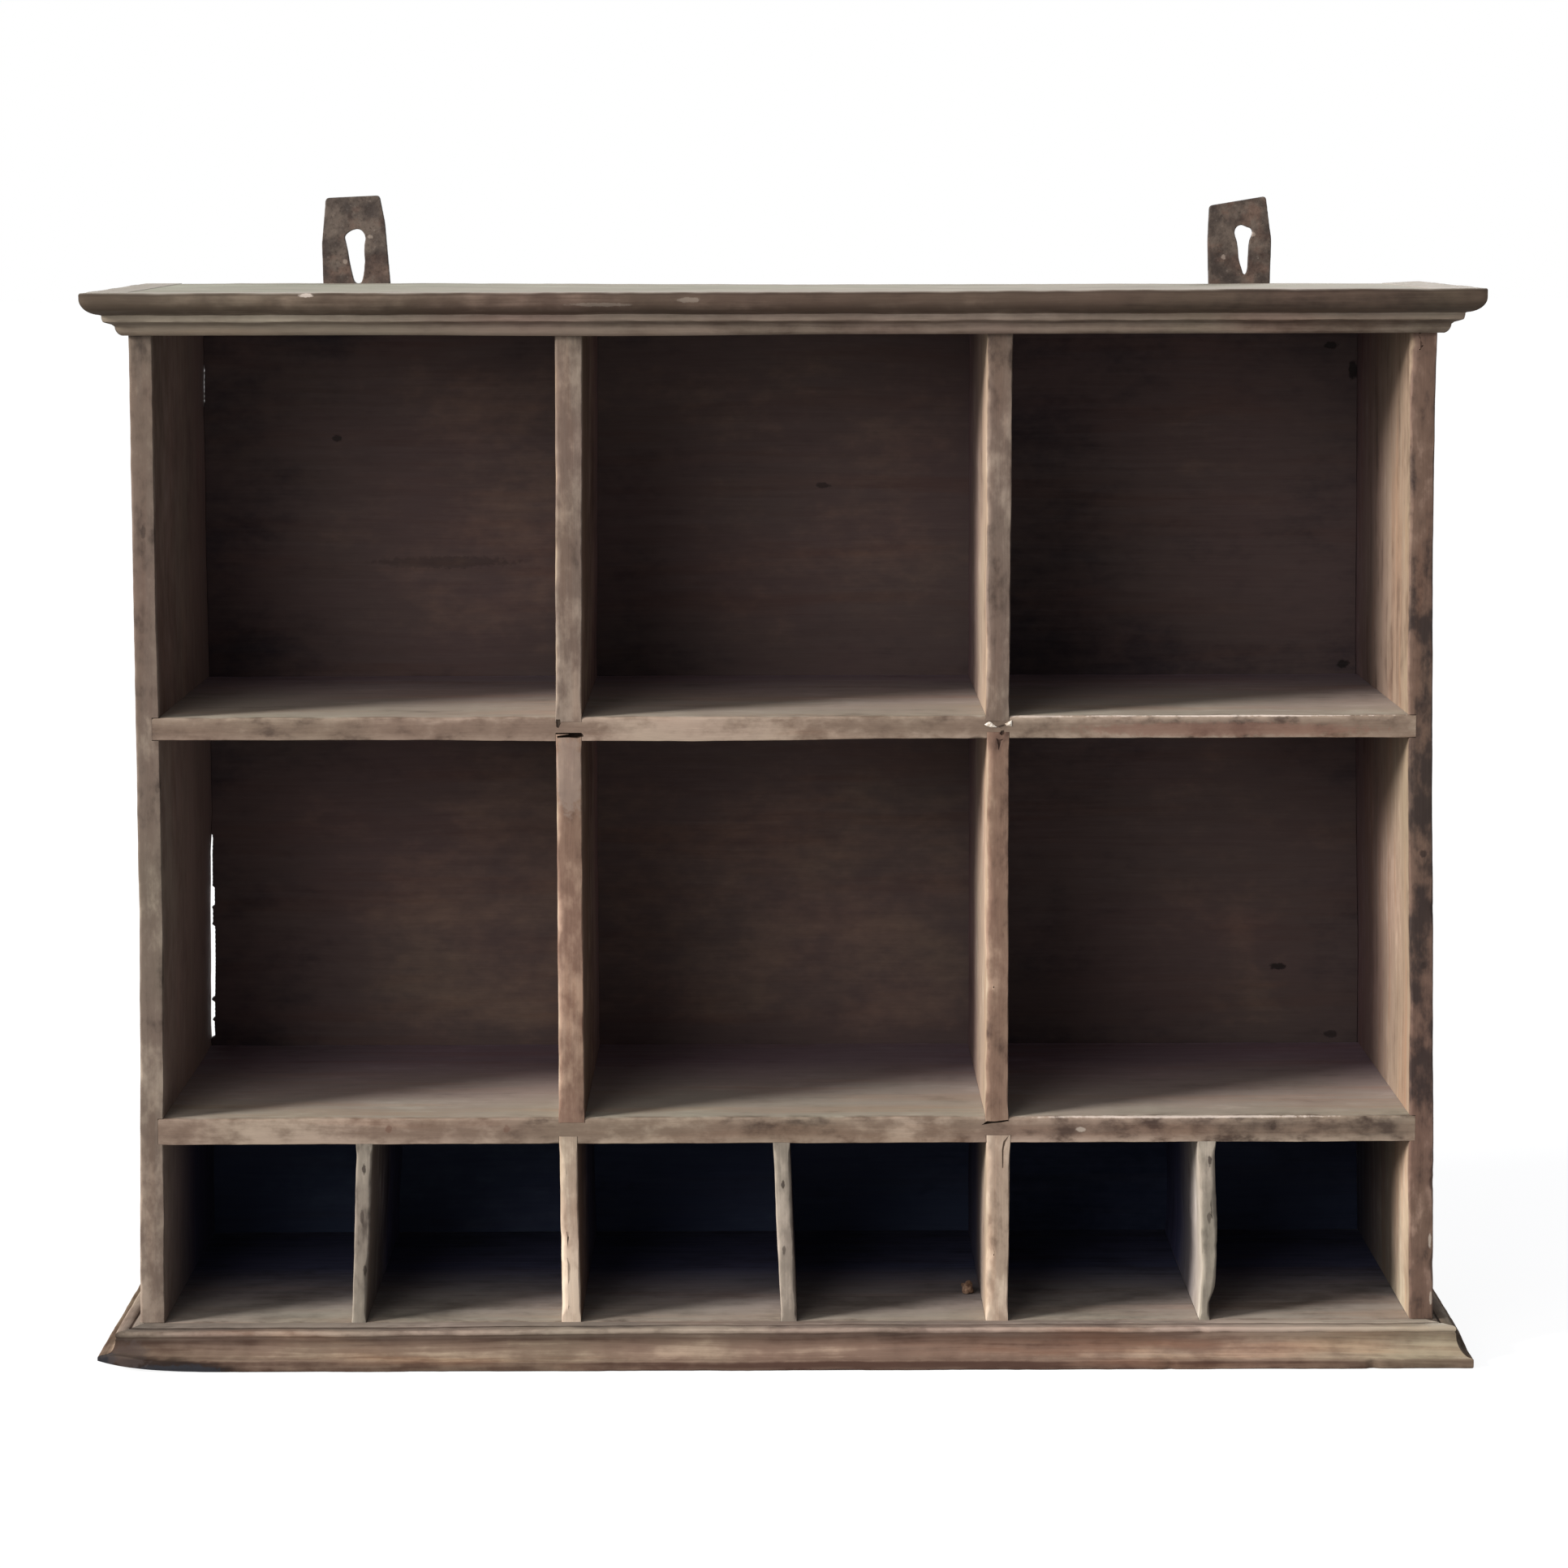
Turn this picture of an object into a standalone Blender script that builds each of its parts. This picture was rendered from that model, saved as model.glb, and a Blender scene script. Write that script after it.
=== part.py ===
"""Wall-hung pigeonhole shelving unit in old softwood, built board by board.

Units are metres, +Z up and +X to the viewer's right. The open front faces -Y.
The origin is the middle of the overall footprint, on the surface under the base.
"""

import math

import bmesh
import bpy
from mathutils import Matrix, Vector

MM = 0.001

# Clearance left at every seat between two pieces.
SEAT = 0.3 * MM

# Pigeonholes: three bays wide, two tall rows over one low row.
BAY_WIDTH = 261.3 * MM
TOP_ROW_HEIGHT = 261.2 * MM
MIDDLE_ROW_HEIGHT = 250.2 * MM
BOTTOM_ROW_HEIGHT = 120.1 * MM
INNER_DEPTH = 220.0 * MM

# Board thicknesses.
SIDE_THICKNESS = 15.2 * MM
TOP_THICKNESS = 15.0 * MM
BASE_THICKNESS = 15.0 * MM
UPPER_SHELF_THICKNESS = 14.9 * MM
LOWER_SHELF_THICKNESS = 16.7 * MM
BACK_THICKNESS = 7.7 * MM
DIVIDER_LINE = 15.5 * MM
ARRIS = 0.8 * MM

# How far each board's end is let into its neighbour.
SHELF_HOUSING = 4.0 * MM
HEAD_HOUSING = 4.5 * MM
FOOT_HOUSING = 3.5 * MM
THIN_HOUSING = 3.0 * MM

# One divider's head was sawn out of square and stops short in its housing.
SHORT_HEAD = "middle_left"
SHORT_HEAD_GAP = 3.0 * MM
SHORT_HEAD_SLANT = 2.0 * MM

# The sides spread a little towards the foot: for each, the height at which the outer
# and the inner face start to lean, and how far each has gone out at the foot.
SIDE_SPLAY = {
    "left": {"outer": (235.0 * MM, 3.0 * MM), "inner": (183.0 * MM, 2.0 * MM)},
    "right": {"outer": (440.0 * MM, 4.6 * MM), "inner": (385.0 * MM, 4.2 * MM)},
}

# Worn arrises: radius at a divider's front left and right, and at a shelf's front
# top and bottom.
DIVIDER_FRONT_ARRISES = (2.6 * MM, 1.4 * MM)
SHELF_FRONT_ARRISES = (1.8 * MM, 0.6 * MM)

# Thick dividers: thickness, and how far each stands right of its bay line.
THICK_DIVIDERS = {
    "top_left": (17.5 * MM, -1.0 * MM),
    "top_right": (15.8 * MM, 0.9 * MM),
    "middle_left": (16.9 * MM, -1.8 * MM),
    "middle_right": (14.8 * MM, 0.7 * MM),
    "bottom_left": (12.3 * MM, -3.6 * MM),
    "bottom_right": (15.5 * MM, 1.4 * MM),
}

# Thin dividers: thickness, and how far head and foot stand right of mid-bay.
THIN_DIVIDERS = {
    "left": (10.4 * MM, 0.9 * MM, -2.5 * MM),
    "centre": (12.0 * MM, -0.2 * MM, 3.0 * MM),
    "right": (9.5 * MM, 1.8 * MM, 1.0 * MM),
}

# Piece broken off the front of one thin divider, at its foot: in millimetres, how far
# it goes in from the right face at each height above the floor.
BROKEN_THIN = "right"
BREAK_OUTLINE = ((3.9, 0.0), (4.3, 12.0), (3.4, 21.0), (1.6, 28.0), (-0.5, 34.0))
BREAK_DEPTH = 12.0 * MM

# Cornice section: fascia and ovolo, a fillet, then a cove and a quarter bead.
CORNICE_HEIGHT = 27.5 * MM
CORNICE_PROJECTION = 27.4 * MM
CORNICE_FASCIA = 4.4 * MM
CORNICE_OVOLO_RUN = 12.2 * MM
CORNICE_OVOLO_DROP = 10.6 * MM
CORNICE_QUIRK = 1.0 * MM
CORNICE_FILLET = 3.6 * MM
CORNICE_COVE_RUN = 4.6 * MM
CORNICE_COVE_DROP = 3.4 * MM

# Base moulding section: plinth face, cove, bead and top fillet.
BASE_HEIGHT = 25.3 * MM
BASE_PROJECTION = 26.6 * MM
PLINTH_FACE = 8.9 * MM
BASE_COVE_RUN = 10.0 * MM
BASE_COVE_RISE = 10.4 * MM
BASE_BEAD_SETBACK = 2.9 * MM
BASE_TOP_FILLET = 3.2 * MM
BASE_BEAD_RADIUS = 1.2 * MM
ARC_STEPS = 7

# Corner of the base that has worn away at the front left.
WORN_LENGTH = 48.0 * MM
WORN_DEPTH = 60.0 * MM
WORN_RISE = 4.6 * MM

# Back panel: its play between the sides, and the hollows in its left edge.
# Each hollow is a height above the shelf below it, a length and a depth.
BACK_EDGE_PLAY = 0.5 * MM
MIDDLE_HOLLOW = (8.0 * MM, 137.0 * MM, 3.0 * MM)
UPPER_HOLLOW = (175.0 * MM, 51.0 * MM, 1.2 * MM)

# Iron hanging plates, let in flush with the rear edge of the top board.
# In millimetres: x right of each plate's own line, z above the top board.
PLATE_THICKNESS = 3.0 * MM
PLATE_CORNER = 2.4 * MM
LEFT_PLATE_INSET = 123.15 * MM
RIGHT_PLATE_INSET = 100.65 * MM
LEFT_PLATE_SIDES = {
    "left": ((-21.0, 61.3), (-24.1, 29.4), (-23.5, 0.0)),
    "right": ((16.9, 63.0), (20.5, 44.0), (24.0, 0.0)),
}
RIGHT_PLATE_SIDES = {
    "left": ((-21.8, 54.6), (-22.8, 30.0), (-22.0, 0.0)),
    "right": ((18.1, 61.2), (22.2, 30.1), (21.4, 0.0)),
}
# Keyholes as filed out by hand, in millimetres from the same lines.
LEFT_KEYHOLE = (
    (0.8, 39.5), (-3.0, 38.5), (-6.4, 36.2), (-7.9, 34.0), (-7.0, 30.1), (-5.8, 24.4),
    (-4.5, 15.9), (-3.1, 9.3), (-1.6, 3.4), (-0.4, 1.7), (1.3, 1.3), (3.2, 1.8),
    (4.3, 4.4), (5.4, 10.2), (6.0, 17.3), (5.6, 24.0), (5.8, 29.4), (6.6, 32.4),
    (5.9, 36.0), (3.6, 38.8),
)
RIGHT_KEYHOLE = (
    (1.0, 41.0), (-1.6, 40.2), (-3.4, 38.0), (-3.8, 35.3), (-3.0, 32.4), (-2.0, 29.6),
    (-1.1, 24.5), (-0.7, 18.3), (0.2, 14.3), (1.5, 10.5), (2.4, 7.3), (3.4, 6.1),
    (4.5, 7.0), (5.4, 10.3), (5.7, 16.4), (6.0, 24.4), (6.6, 30.1), (8.0, 33.2),
    (8.8, 36.0), (7.6, 38.6), (4.6, 39.5), (2.8, 40.4),
)
KEYHOLE_CORNER = 1.2

# Countersunk wood screws that hold the plates.
SCREW_HEAD_RADIUS = 4.1 * MM
SCREW_SHANK_RADIUS = 2.0 * MM
SCREW_LENGTH = 22.0 * MM
SCREW_POINT = 3.0 * MM
SCREW_HEAD_RIM = 0.4 * MM
SCREW_SLOT_WIDTH = 1.0 * MM
SCREW_SLOT_DEPTH = 0.9 * MM
SCREW_SPACING = 22.0 * MM
SCREW_SIDES = 16

# Sizes worked out from the ones above.
INNER_WIDTH = 3 * BAY_WIDTH + 2 * DIVIDER_LINE
BODY_WIDTH = INNER_WIDTH + 2 * SIDE_THICKNESS
BODY_DEPTH = INNER_DEPTH + SEAT + BACK_THICKNESS
INNER_X = INNER_WIDTH / 2
BODY_X = BODY_WIDTH / 2
BAY_LINE_X = (BAY_WIDTH + DIVIDER_LINE) / 2
LEFT_PLATE_X = LEFT_PLATE_INSET - BODY_X
RIGHT_PLATE_X = BODY_X - RIGHT_PLATE_INSET

OVERALL_DEPTH = CORNICE_PROJECTION + BODY_DEPTH
FRONT_Y = CORNICE_PROJECTION - OVERALL_DEPTH / 2
REAR_Y = FRONT_Y + BODY_DEPTH
BACK_FACE_Y = FRONT_Y + INNER_DEPTH

FLOOR_Z = BASE_HEIGHT
LOWER_SHELF_Z = FLOOR_Z + BOTTOM_ROW_HEIGHT
LOWER_SHELF_TOP_Z = LOWER_SHELF_Z + LOWER_SHELF_THICKNESS
UPPER_SHELF_Z = LOWER_SHELF_TOP_Z + MIDDLE_ROW_HEIGHT
UPPER_SHELF_TOP_Z = UPPER_SHELF_Z + UPPER_SHELF_THICKNESS
CEILING_Z = UPPER_SHELF_TOP_Z + TOP_ROW_HEIGHT
TOP_Z = CEILING_Z + TOP_THICKNESS

# Length that every cutter passes its board by.
PAST = 10.0 * MM

FINISHES = {
    "carcass_wood": ((0.19, 0.13, 0.09), 0.8, 0.0),
    "moulding_wood": ((0.15, 0.11, 0.08), 0.78, 0.0),
    "shelf_wood": ((0.22, 0.16, 0.12), 0.82, 0.0),
    "thin_wood": ((0.23, 0.20, 0.16), 0.85, 0.0),
    "back_wood": ((0.07, 0.045, 0.03), 0.85, 0.0),
    "plate_iron": ((0.09, 0.075, 0.06), 0.6, 0.8),
    "screw_iron": ((0.06, 0.05, 0.045), 0.5, 0.9),
}


def clear_scene():
    for thing in list(bpy.data.objects):
        bpy.data.objects.remove(thing, do_unlink=True)


def new_collection(name):
    collection = bpy.data.collections.new(name)
    bpy.context.scene.collection.children.link(collection)
    return collection


def finish_material(name, part_name):
    """One Principled material for one part, in the colour of its finish."""
    color, roughness, metallic = FINISHES[name]
    material = bpy.data.materials.new(part_name + "_" + name)
    material.use_nodes = True
    shader = material.node_tree.nodes["Principled BSDF"]
    shader.inputs["Base Color"].default_value = (*color, 1.0)
    shader.inputs["Roughness"].default_value = roughness
    shader.inputs["Metallic"].default_value = metallic
    return material


def add_object(name, mesh, collection, finish=None):
    thing = bpy.data.objects.new(name, mesh)
    collection.objects.link(thing)
    if finish:
        mesh.materials.append(finish_material(finish, name))
    return thing


def box_mesh(name, size):
    mesh = bpy.data.meshes.new(name)
    shape = bmesh.new()
    bmesh.ops.create_cube(shape, size=1.0, matrix=Matrix.Diagonal((*size, 1.0)))
    shape.to_mesh(mesh)
    shape.free()
    return mesh


def add_box(name, low, high, collection, finish=None):
    """A box between two corners, with its origin at its own middle."""
    low, high = Vector(low), Vector(high)
    thing = add_object(name, box_mesh(name, high - low), collection, finish)
    thing.location = (low + high) / 2
    return thing


def ease_edges(board, width=ARRIS):
    """Take the sharp arrises off a board."""
    bevel = board.modifiers.new("arris", "BEVEL")
    bevel.width = width
    bevel.segments = 1
    bevel.limit_method = "ANGLE"
    return board


def add_board(name, low, high, finish):
    return ease_edges(add_box(name, low, high, PARTS, finish))


def add_cutter(name, low, high):
    cutter = add_box(name, low, high, CUTTERS)
    cutter.hide_render = True
    cutter.display_type = "WIRE"
    return cutter


def cut(board, cutter):
    difference = board.modifiers.new(cutter.name, "BOOLEAN")
    difference.operation = "DIFFERENCE"
    difference.solver = "EXACT"
    difference.object = cutter


def prism(name, outline, axis, start, end):
    """A closed mesh: an outline pushed along one axis.

    The outline is in (x, y) for axis z, in (y, z) for axis x and in (x, z) for axis y.
    """
    place = {"x": lambda a, b, t: (t, a, b), "y": lambda a, b, t: (a, t, b),
             "z": lambda a, b, t: (a, b, t)}[axis]
    mesh = bpy.data.meshes.new(name)
    shape = bmesh.new()
    ends = [[shape.verts.new(place(a, b, t)) for a, b in outline] for t in (start, end)]
    shape.faces.new(ends[0])
    shape.faces.new(ends[1])
    for i in range(len(outline)):
        j = (i + 1) % len(outline)
        shape.faces.new((ends[0][i], ends[0][j], ends[1][j], ends[1][i]))
    bmesh.ops.recalc_face_normals(shape, faces=shape.faces)
    shape.to_mesh(mesh)
    shape.free()
    return mesh


def add_prism_cutter(name, outline, axis, start, end):
    cutter = add_object(name, prism(name, outline, axis, start, end), CUTTERS)
    cutter.hide_render = True
    cutter.display_type = "WIRE"
    return cutter


def eased_section(low, high, radii, steps=3):
    """A rectangle's outline with a radius for each corner, from its lowest, anticlockwise."""
    corners = [(low[0], low[1], 1, 1, 180), (high[0], low[1], -1, 1, 270),
               (high[0], high[1], -1, -1, 0), (low[0], high[1], 1, -1, 90)]
    outline = []
    for (a, b, way_a, way_b, turn), radius in zip(corners, radii):
        centre = (a + way_a * radius, b + way_b * radius)
        outline += arc(centre, (radius, radius), turn, turn + 90, steps)
    return outline


def flat_piece(name, outlines, thickness, middle_y, finish):
    """A flat outline in x and z, with any holes, given its thickness along y.

    outlines is a list of closed loops of (x, z): the outer one, then the holes.
    """
    curve = bpy.data.curves.new(name, "CURVE")
    curve.dimensions = "2D"
    curve.fill_mode = "BOTH"
    curve.extrude = thickness / 2
    for outline in outlines:
        spline = curve.splines.new("POLY")
        spline.points.add(len(outline) - 1)
        for point, (x, z) in zip(spline.points, outline):
            point.co = (x, z, 0.0, 1.0)
        spline.use_cyclic_u = True
    drawn = bpy.data.objects.new(name + "_outline", curve)
    PARTS.objects.link(drawn)
    drawn.rotation_euler = (math.pi / 2, 0.0, 0.0)
    drawn.location = (0.0, middle_y, 0.0)
    bpy.context.view_layer.update()
    evaluated = drawn.evaluated_get(bpy.context.evaluated_depsgraph_get())
    mesh = bpy.data.meshes.new_from_object(evaluated)
    shape = bmesh.new()
    shape.from_mesh(mesh)
    bmesh.ops.remove_doubles(shape, verts=shape.verts, dist=1e-6)
    bmesh.ops.recalc_face_normals(shape, faces=shape.faces)
    shape.to_mesh(mesh)
    shape.free()
    mesh.materials.clear()
    thing = add_object(name, mesh, PARTS, finish)
    thing.matrix_world = drawn.matrix_world.copy()
    bpy.data.objects.remove(drawn, do_unlink=True)
    return thing


def arc(centre, radii, start, end, steps=ARC_STEPS):
    """Points along an elliptical arc, from start to end in degrees."""
    turns = [math.radians(start + (end - start) * i / steps) for i in range(steps + 1)]
    return [(centre[0] + radii[0] * math.cos(t), centre[1] + radii[1] * math.sin(t))
            for t in turns]


def round_corners(points, radius, steps=3):
    """A closed outline with each corner turned into a short curve."""
    rounded = []
    for i, corner in enumerate(points):
        here = Vector(corner)
        before = Vector(points[i - 1]) - here
        after = Vector(points[(i + 1) % len(points)]) - here
        reach = min(radius, before.length / 3, after.length / 3)
        start = here + before.normalized() * reach
        end = here + after.normalized() * reach
        for step in range(steps + 1):
            t = step / steps
            blend = start.lerp(here, t).lerp(here.lerp(end, t), t)
            rounded.append((blend.x, blend.y))
    return rounded


def cornice_profile():
    """Section of the cornice: out from the board, z down from the top."""
    ovolo_x = CORNICE_PROJECTION - CORNICE_OVOLO_RUN
    ovolo_z = -CORNICE_FASCIA - CORNICE_OVOLO_DROP
    fillet_x = ovolo_x - CORNICE_QUIRK
    fillet_z = ovolo_z - CORNICE_FILLET
    bead_x = fillet_x - CORNICE_COVE_RUN
    bead_z = fillet_z - CORNICE_COVE_DROP
    bead_drop = CORNICE_HEIGHT + bead_z
    bead_run = min(bead_drop, bead_x * 0.7)
    points = [(SEAT, 0.0), (CORNICE_PROJECTION, 0.0)]
    points += arc((ovolo_x, -CORNICE_FASCIA), (CORNICE_OVOLO_RUN, CORNICE_OVOLO_DROP), 0, -90)
    points += [(fillet_x, ovolo_z)]
    points += arc((fillet_x, bead_z), (CORNICE_COVE_RUN, CORNICE_COVE_DROP), 90, 180, 4)
    points += arc((bead_x - bead_run, bead_z), (bead_run, bead_drop), 0, -90, 5)[1:]
    points += [(SEAT, -CORNICE_HEIGHT)]
    return points


def base_profile():
    """Section of the base moulding: out from the board, z up from the floor below."""
    cove_x = BASE_PROJECTION - BASE_COVE_RUN
    cove_z = PLINTH_FACE + BASE_COVE_RISE
    fillet_x = cove_x - BASE_BEAD_SETBACK
    fillet_z = BASE_HEIGHT - BASE_TOP_FILLET
    bead = min(BASE_BEAD_RADIUS, (fillet_z - cove_z) / 2, BASE_BEAD_SETBACK)
    points = [(SEAT, 0.0), (BASE_PROJECTION, 0.0)]
    points += arc((BASE_PROJECTION, cove_z), (BASE_COVE_RUN, BASE_COVE_RISE), 270, 180)
    points += arc((cove_x - bead, fillet_z - bead), (bead, bead), 0, 90, 3)
    points += [(fillet_x, fillet_z), (fillet_x, BASE_HEIGHT), (SEAT, BASE_HEIGHT)]
    return points


def saw(shape, point, normal):
    """Saw a closed shape through at a plane and drop what lies beyond it."""
    geometry = list(shape.verts) + list(shape.edges) + list(shape.faces)
    result = bmesh.ops.bisect_plane(
        shape, geom=geometry, dist=1e-7, plane_co=point, plane_no=normal, clear_outer=True)
    edges = [item for item in result["geom_cut"] if isinstance(item, bmesh.types.BMEdge)]
    if edges:
        bmesh.ops.contextual_create(shape, geom=edges)


def moulding(name, profile, run, turn, seat, mitre_low, mitre_high, worn=False):
    """A moulding along its own x from run[0] to run[1], facing its own -y.

    turn is its angle about z and seat the point that it is fixed at. A mitred end is
    sawn at 45 degrees, so run gives the length along the board that it is fixed to.
    """
    reach = max(point[0] for point in profile)
    low, high = run
    mesh = bpy.data.meshes.new(name)
    shape = bmesh.new()
    start = low - reach - PAST if mitre_low else low
    end = high + reach + PAST if mitre_high else high
    section = [shape.verts.new((start, -out, up)) for out, up in profile]
    face = shape.faces.new(section)
    swept = bmesh.ops.extrude_face_region(shape, geom=[face])
    moved = [item for item in swept["geom"] if isinstance(item, bmesh.types.BMVert)]
    bmesh.ops.translate(shape, verts=moved, vec=(end - start, 0.0, 0.0))
    bmesh.ops.recalc_face_normals(shape, faces=shape.faces)
    half_gap = SEAT / math.sqrt(2)
    if mitre_low:
        saw(shape, (low + half_gap, 0.0, 0.0), (-1.0, 1.0, 0.0))
    if mitre_high:
        saw(shape, (high - half_gap, 0.0, 0.0), (1.0, 1.0, 0.0))
    placed = Matrix.Translation(seat) @ Matrix.Rotation(turn, 4, "Z")
    if worn:
        to_own = placed.inverted()
        point, normal = worn_plane()
        saw(shape, to_own @ point, to_own.to_3x3() @ normal)
    bmesh.ops.recalc_face_normals(shape, faces=shape.faces)
    shape.to_mesh(mesh)
    shape.free()
    thing = add_object(name, mesh, PARTS, "moulding_wood")
    thing.matrix_world = placed
    return thing


def worn_plane():
    """Plane of the worn front left corner: a point on it and the normal that faces out."""
    corner = Vector((-BODY_X - BASE_PROJECTION, FRONT_Y - BASE_PROJECTION, WORN_RISE))
    along = corner + Vector((WORN_LENGTH, 0.0, -WORN_RISE))
    back = corner + Vector((0.0, WORN_DEPTH, -WORN_RISE))
    normal = (along - corner).cross(back - corner).normalized()
    if normal.z > 0:
        normal = -normal
    return corner, normal


def build_mouldings(label, profile, height, worn):
    """The front length and the two returns of a moulding, mitred at the front corners."""
    rear = REAR_Y - FRONT_Y
    moulding(label + "_front", profile, (-BODY_X, BODY_X), 0.0,
             Vector((0.0, FRONT_Y, height)), True, True, worn)
    moulding(label + "_right", profile, (0.0, rear), math.pi / 2,
             Vector((BODY_X, FRONT_Y, height)), True, False)
    moulding(label + "_left", profile, (-rear, 0.0), -math.pi / 2,
             Vector((-BODY_X, FRONT_Y, height)), False, True, worn)


def bay_line(side):
    return -BAY_LINE_X if side == "left" else BAY_LINE_X


def thick_divider_span(key):
    """Left and right faces of a thick divider."""
    thickness, shift = THICK_DIVIDERS[key]
    middle = bay_line(key.split("_")[1]) + shift
    return middle - thickness / 2, middle + thickness / 2


def thin_divider_middles(key):
    """x of the middle of a thin divider's head and foot."""
    edges = {
        "left": (-INNER_X, thick_divider_span("bottom_left")[0]),
        "centre": (thick_divider_span("bottom_left")[1], thick_divider_span("bottom_right")[0]),
        "right": (thick_divider_span("bottom_right")[1], INNER_X),
    }
    middle = sum(edges[key]) / 2
    _, head, foot = THIN_DIVIDERS[key]
    return middle + head, middle + foot


def housing(board, label, low_x, high_x, low_z, high_z):
    """A groove across a board, from its front edge to the back panel."""
    rear = BACK_FACE_Y + SEAT
    cut(board, add_cutter(label, (low_x, FRONT_Y - PAST, low_z), (high_x, rear, high_z)))


def divider_housing(board, key, face_z, depth, upward):
    """The groove for a thick divider's end, cut up into a board or down into it."""
    left, right = thick_divider_span(key)
    low_z, high_z = (face_z - PAST, face_z + depth) if upward else (face_z - depth, face_z + PAST)
    end = "head" if upward else "foot"
    housing(board, f"housing_{key}_{end}", left - SEAT, right + SEAT, low_z, high_z)


def side_face(side, face, height):
    """Distance from the middle to a side board's inner or outer face at a height."""
    start_z, reach = SIDE_SPLAY[side][face]
    gone = max(0.0, (start_z - height) / (start_z - FLOOR_Z))
    return (INNER_X if face == "inner" else BODY_X) + reach * gone


def side_outline(side, sign):
    foot, head = FLOOR_Z + SEAT, CEILING_Z - SEAT
    inner = [foot, SIDE_SPLAY[side]["inner"][0], head]
    outer = [foot, SIDE_SPLAY[side]["outer"][0], head]
    outline = [(sign * side_face(side, "inner", z), z) for z in inner]
    outline += [(sign * side_face(side, "outer", z), z) for z in reversed(outer)]
    return outline


def build_sides():
    for side, sign in (("left", -1), ("right", 1)):
        board = flat_piece("side_" + side, [side_outline(side, sign)], BODY_DEPTH,
                           FRONT_Y + BODY_DEPTH / 2, "carcass_wood")
        ease_edges(board)
        for label, low_z, high_z in (("upper", UPPER_SHELF_Z, UPPER_SHELF_TOP_Z),
                                     ("lower", LOWER_SHELF_Z, LOWER_SHELF_TOP_Z)):
            bottom = shelf_end(side, (low_z + high_z) / 2) + SEAT
            mouth = sorted((sign * (INNER_X - PAST), sign * bottom))
            housing(board, f"side_{side}_{label}_housing", mouth[0], mouth[1],
                    low_z - SEAT, high_z + SEAT)


def shelf_end(side, height):
    """Distance from the middle to the end of a shelf at a height."""
    return side_face(side, "inner", height) + SHELF_HOUSING - SEAT


def screw_places():
    """Where the plates are screwed on: each screw's name, x and z."""
    places = []
    height = TOP_Z - TOP_THICKNESS / 2
    for label, middle, out in (("left", LEFT_PLATE_X, -1), ("right", RIGHT_PLATE_X, 1)):
        for end, way in (("outer", out), ("inner", -out)):
            name = f"plate_screw_{label}_{end}"
            places.append((name, middle + way * SCREW_SPACING / 2, height))
    return places


def turned(name, profile, collection, finish=None):
    """A turned shape about its own z, from points down its outer side."""
    mesh = bpy.data.meshes.new(name)
    edges = [(i, i + 1) for i in range(len(profile) - 1)]
    mesh.from_pydata([(radius, 0.0, height) for radius, height in profile], edges, [])
    thing = add_object(name, mesh, collection, finish)
    screw = thing.modifiers.new("turn", "SCREW")
    screw.axis = "Z"
    screw.steps = SCREW_SIDES
    screw.render_steps = SCREW_SIDES
    screw.use_merge_vertices = True
    screw.merge_threshold = 1e-5
    return thing


def screw_profile(clearance=0.0, top=0.0):
    """Countersunk screw or its hole: head top at z = 0, point down."""
    head = SCREW_HEAD_RADIUS + clearance
    shank = SCREW_SHANK_RADIUS + clearance
    cone = SCREW_HEAD_RADIUS - SCREW_SHANK_RADIUS
    rim = SCREW_HEAD_RIM + clearance
    return [(0.0, top), (head, top), (head, -rim), (shank, -rim - cone),
            (shank, SCREW_POINT - SCREW_LENGTH - clearance), (0.0, -SCREW_LENGTH - clearance)]


def rear_facing(thing, x, z):
    """Lay a turned piece along y with its head in the unit's rear face."""
    thing.rotation_euler = (-math.pi / 2, 0.0, 0.0)
    thing.location = (x, REAR_Y, z)


def build_screws():
    for name, x, z in screw_places():
        screw = turned(name, screw_profile(), PARTS, "screw_iron")
        rear_facing(screw, x, z)
        reach = SCREW_HEAD_RADIUS + PAST
        slot = add_cutter(
            name + "_slot",
            (x - reach, REAR_Y - SCREW_SLOT_DEPTH, z - SCREW_SLOT_WIDTH / 2),
            (x + reach, REAR_Y + PAST, z + SCREW_SLOT_WIDTH / 2))
        cut(screw, slot)


def screw_holes(piece, label):
    """Bore a piece for the screws whose names start with a label."""
    for name, x, z in screw_places():
        if name.startswith(label):
            hole = turned(f"{piece.name}_{name}_hole", screw_profile(SEAT, PAST), CUTTERS)
            hole.hide_render = True
            hole.display_type = "WIRE"
            rear_facing(hole, x, z)
            cut(piece, hole)


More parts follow.
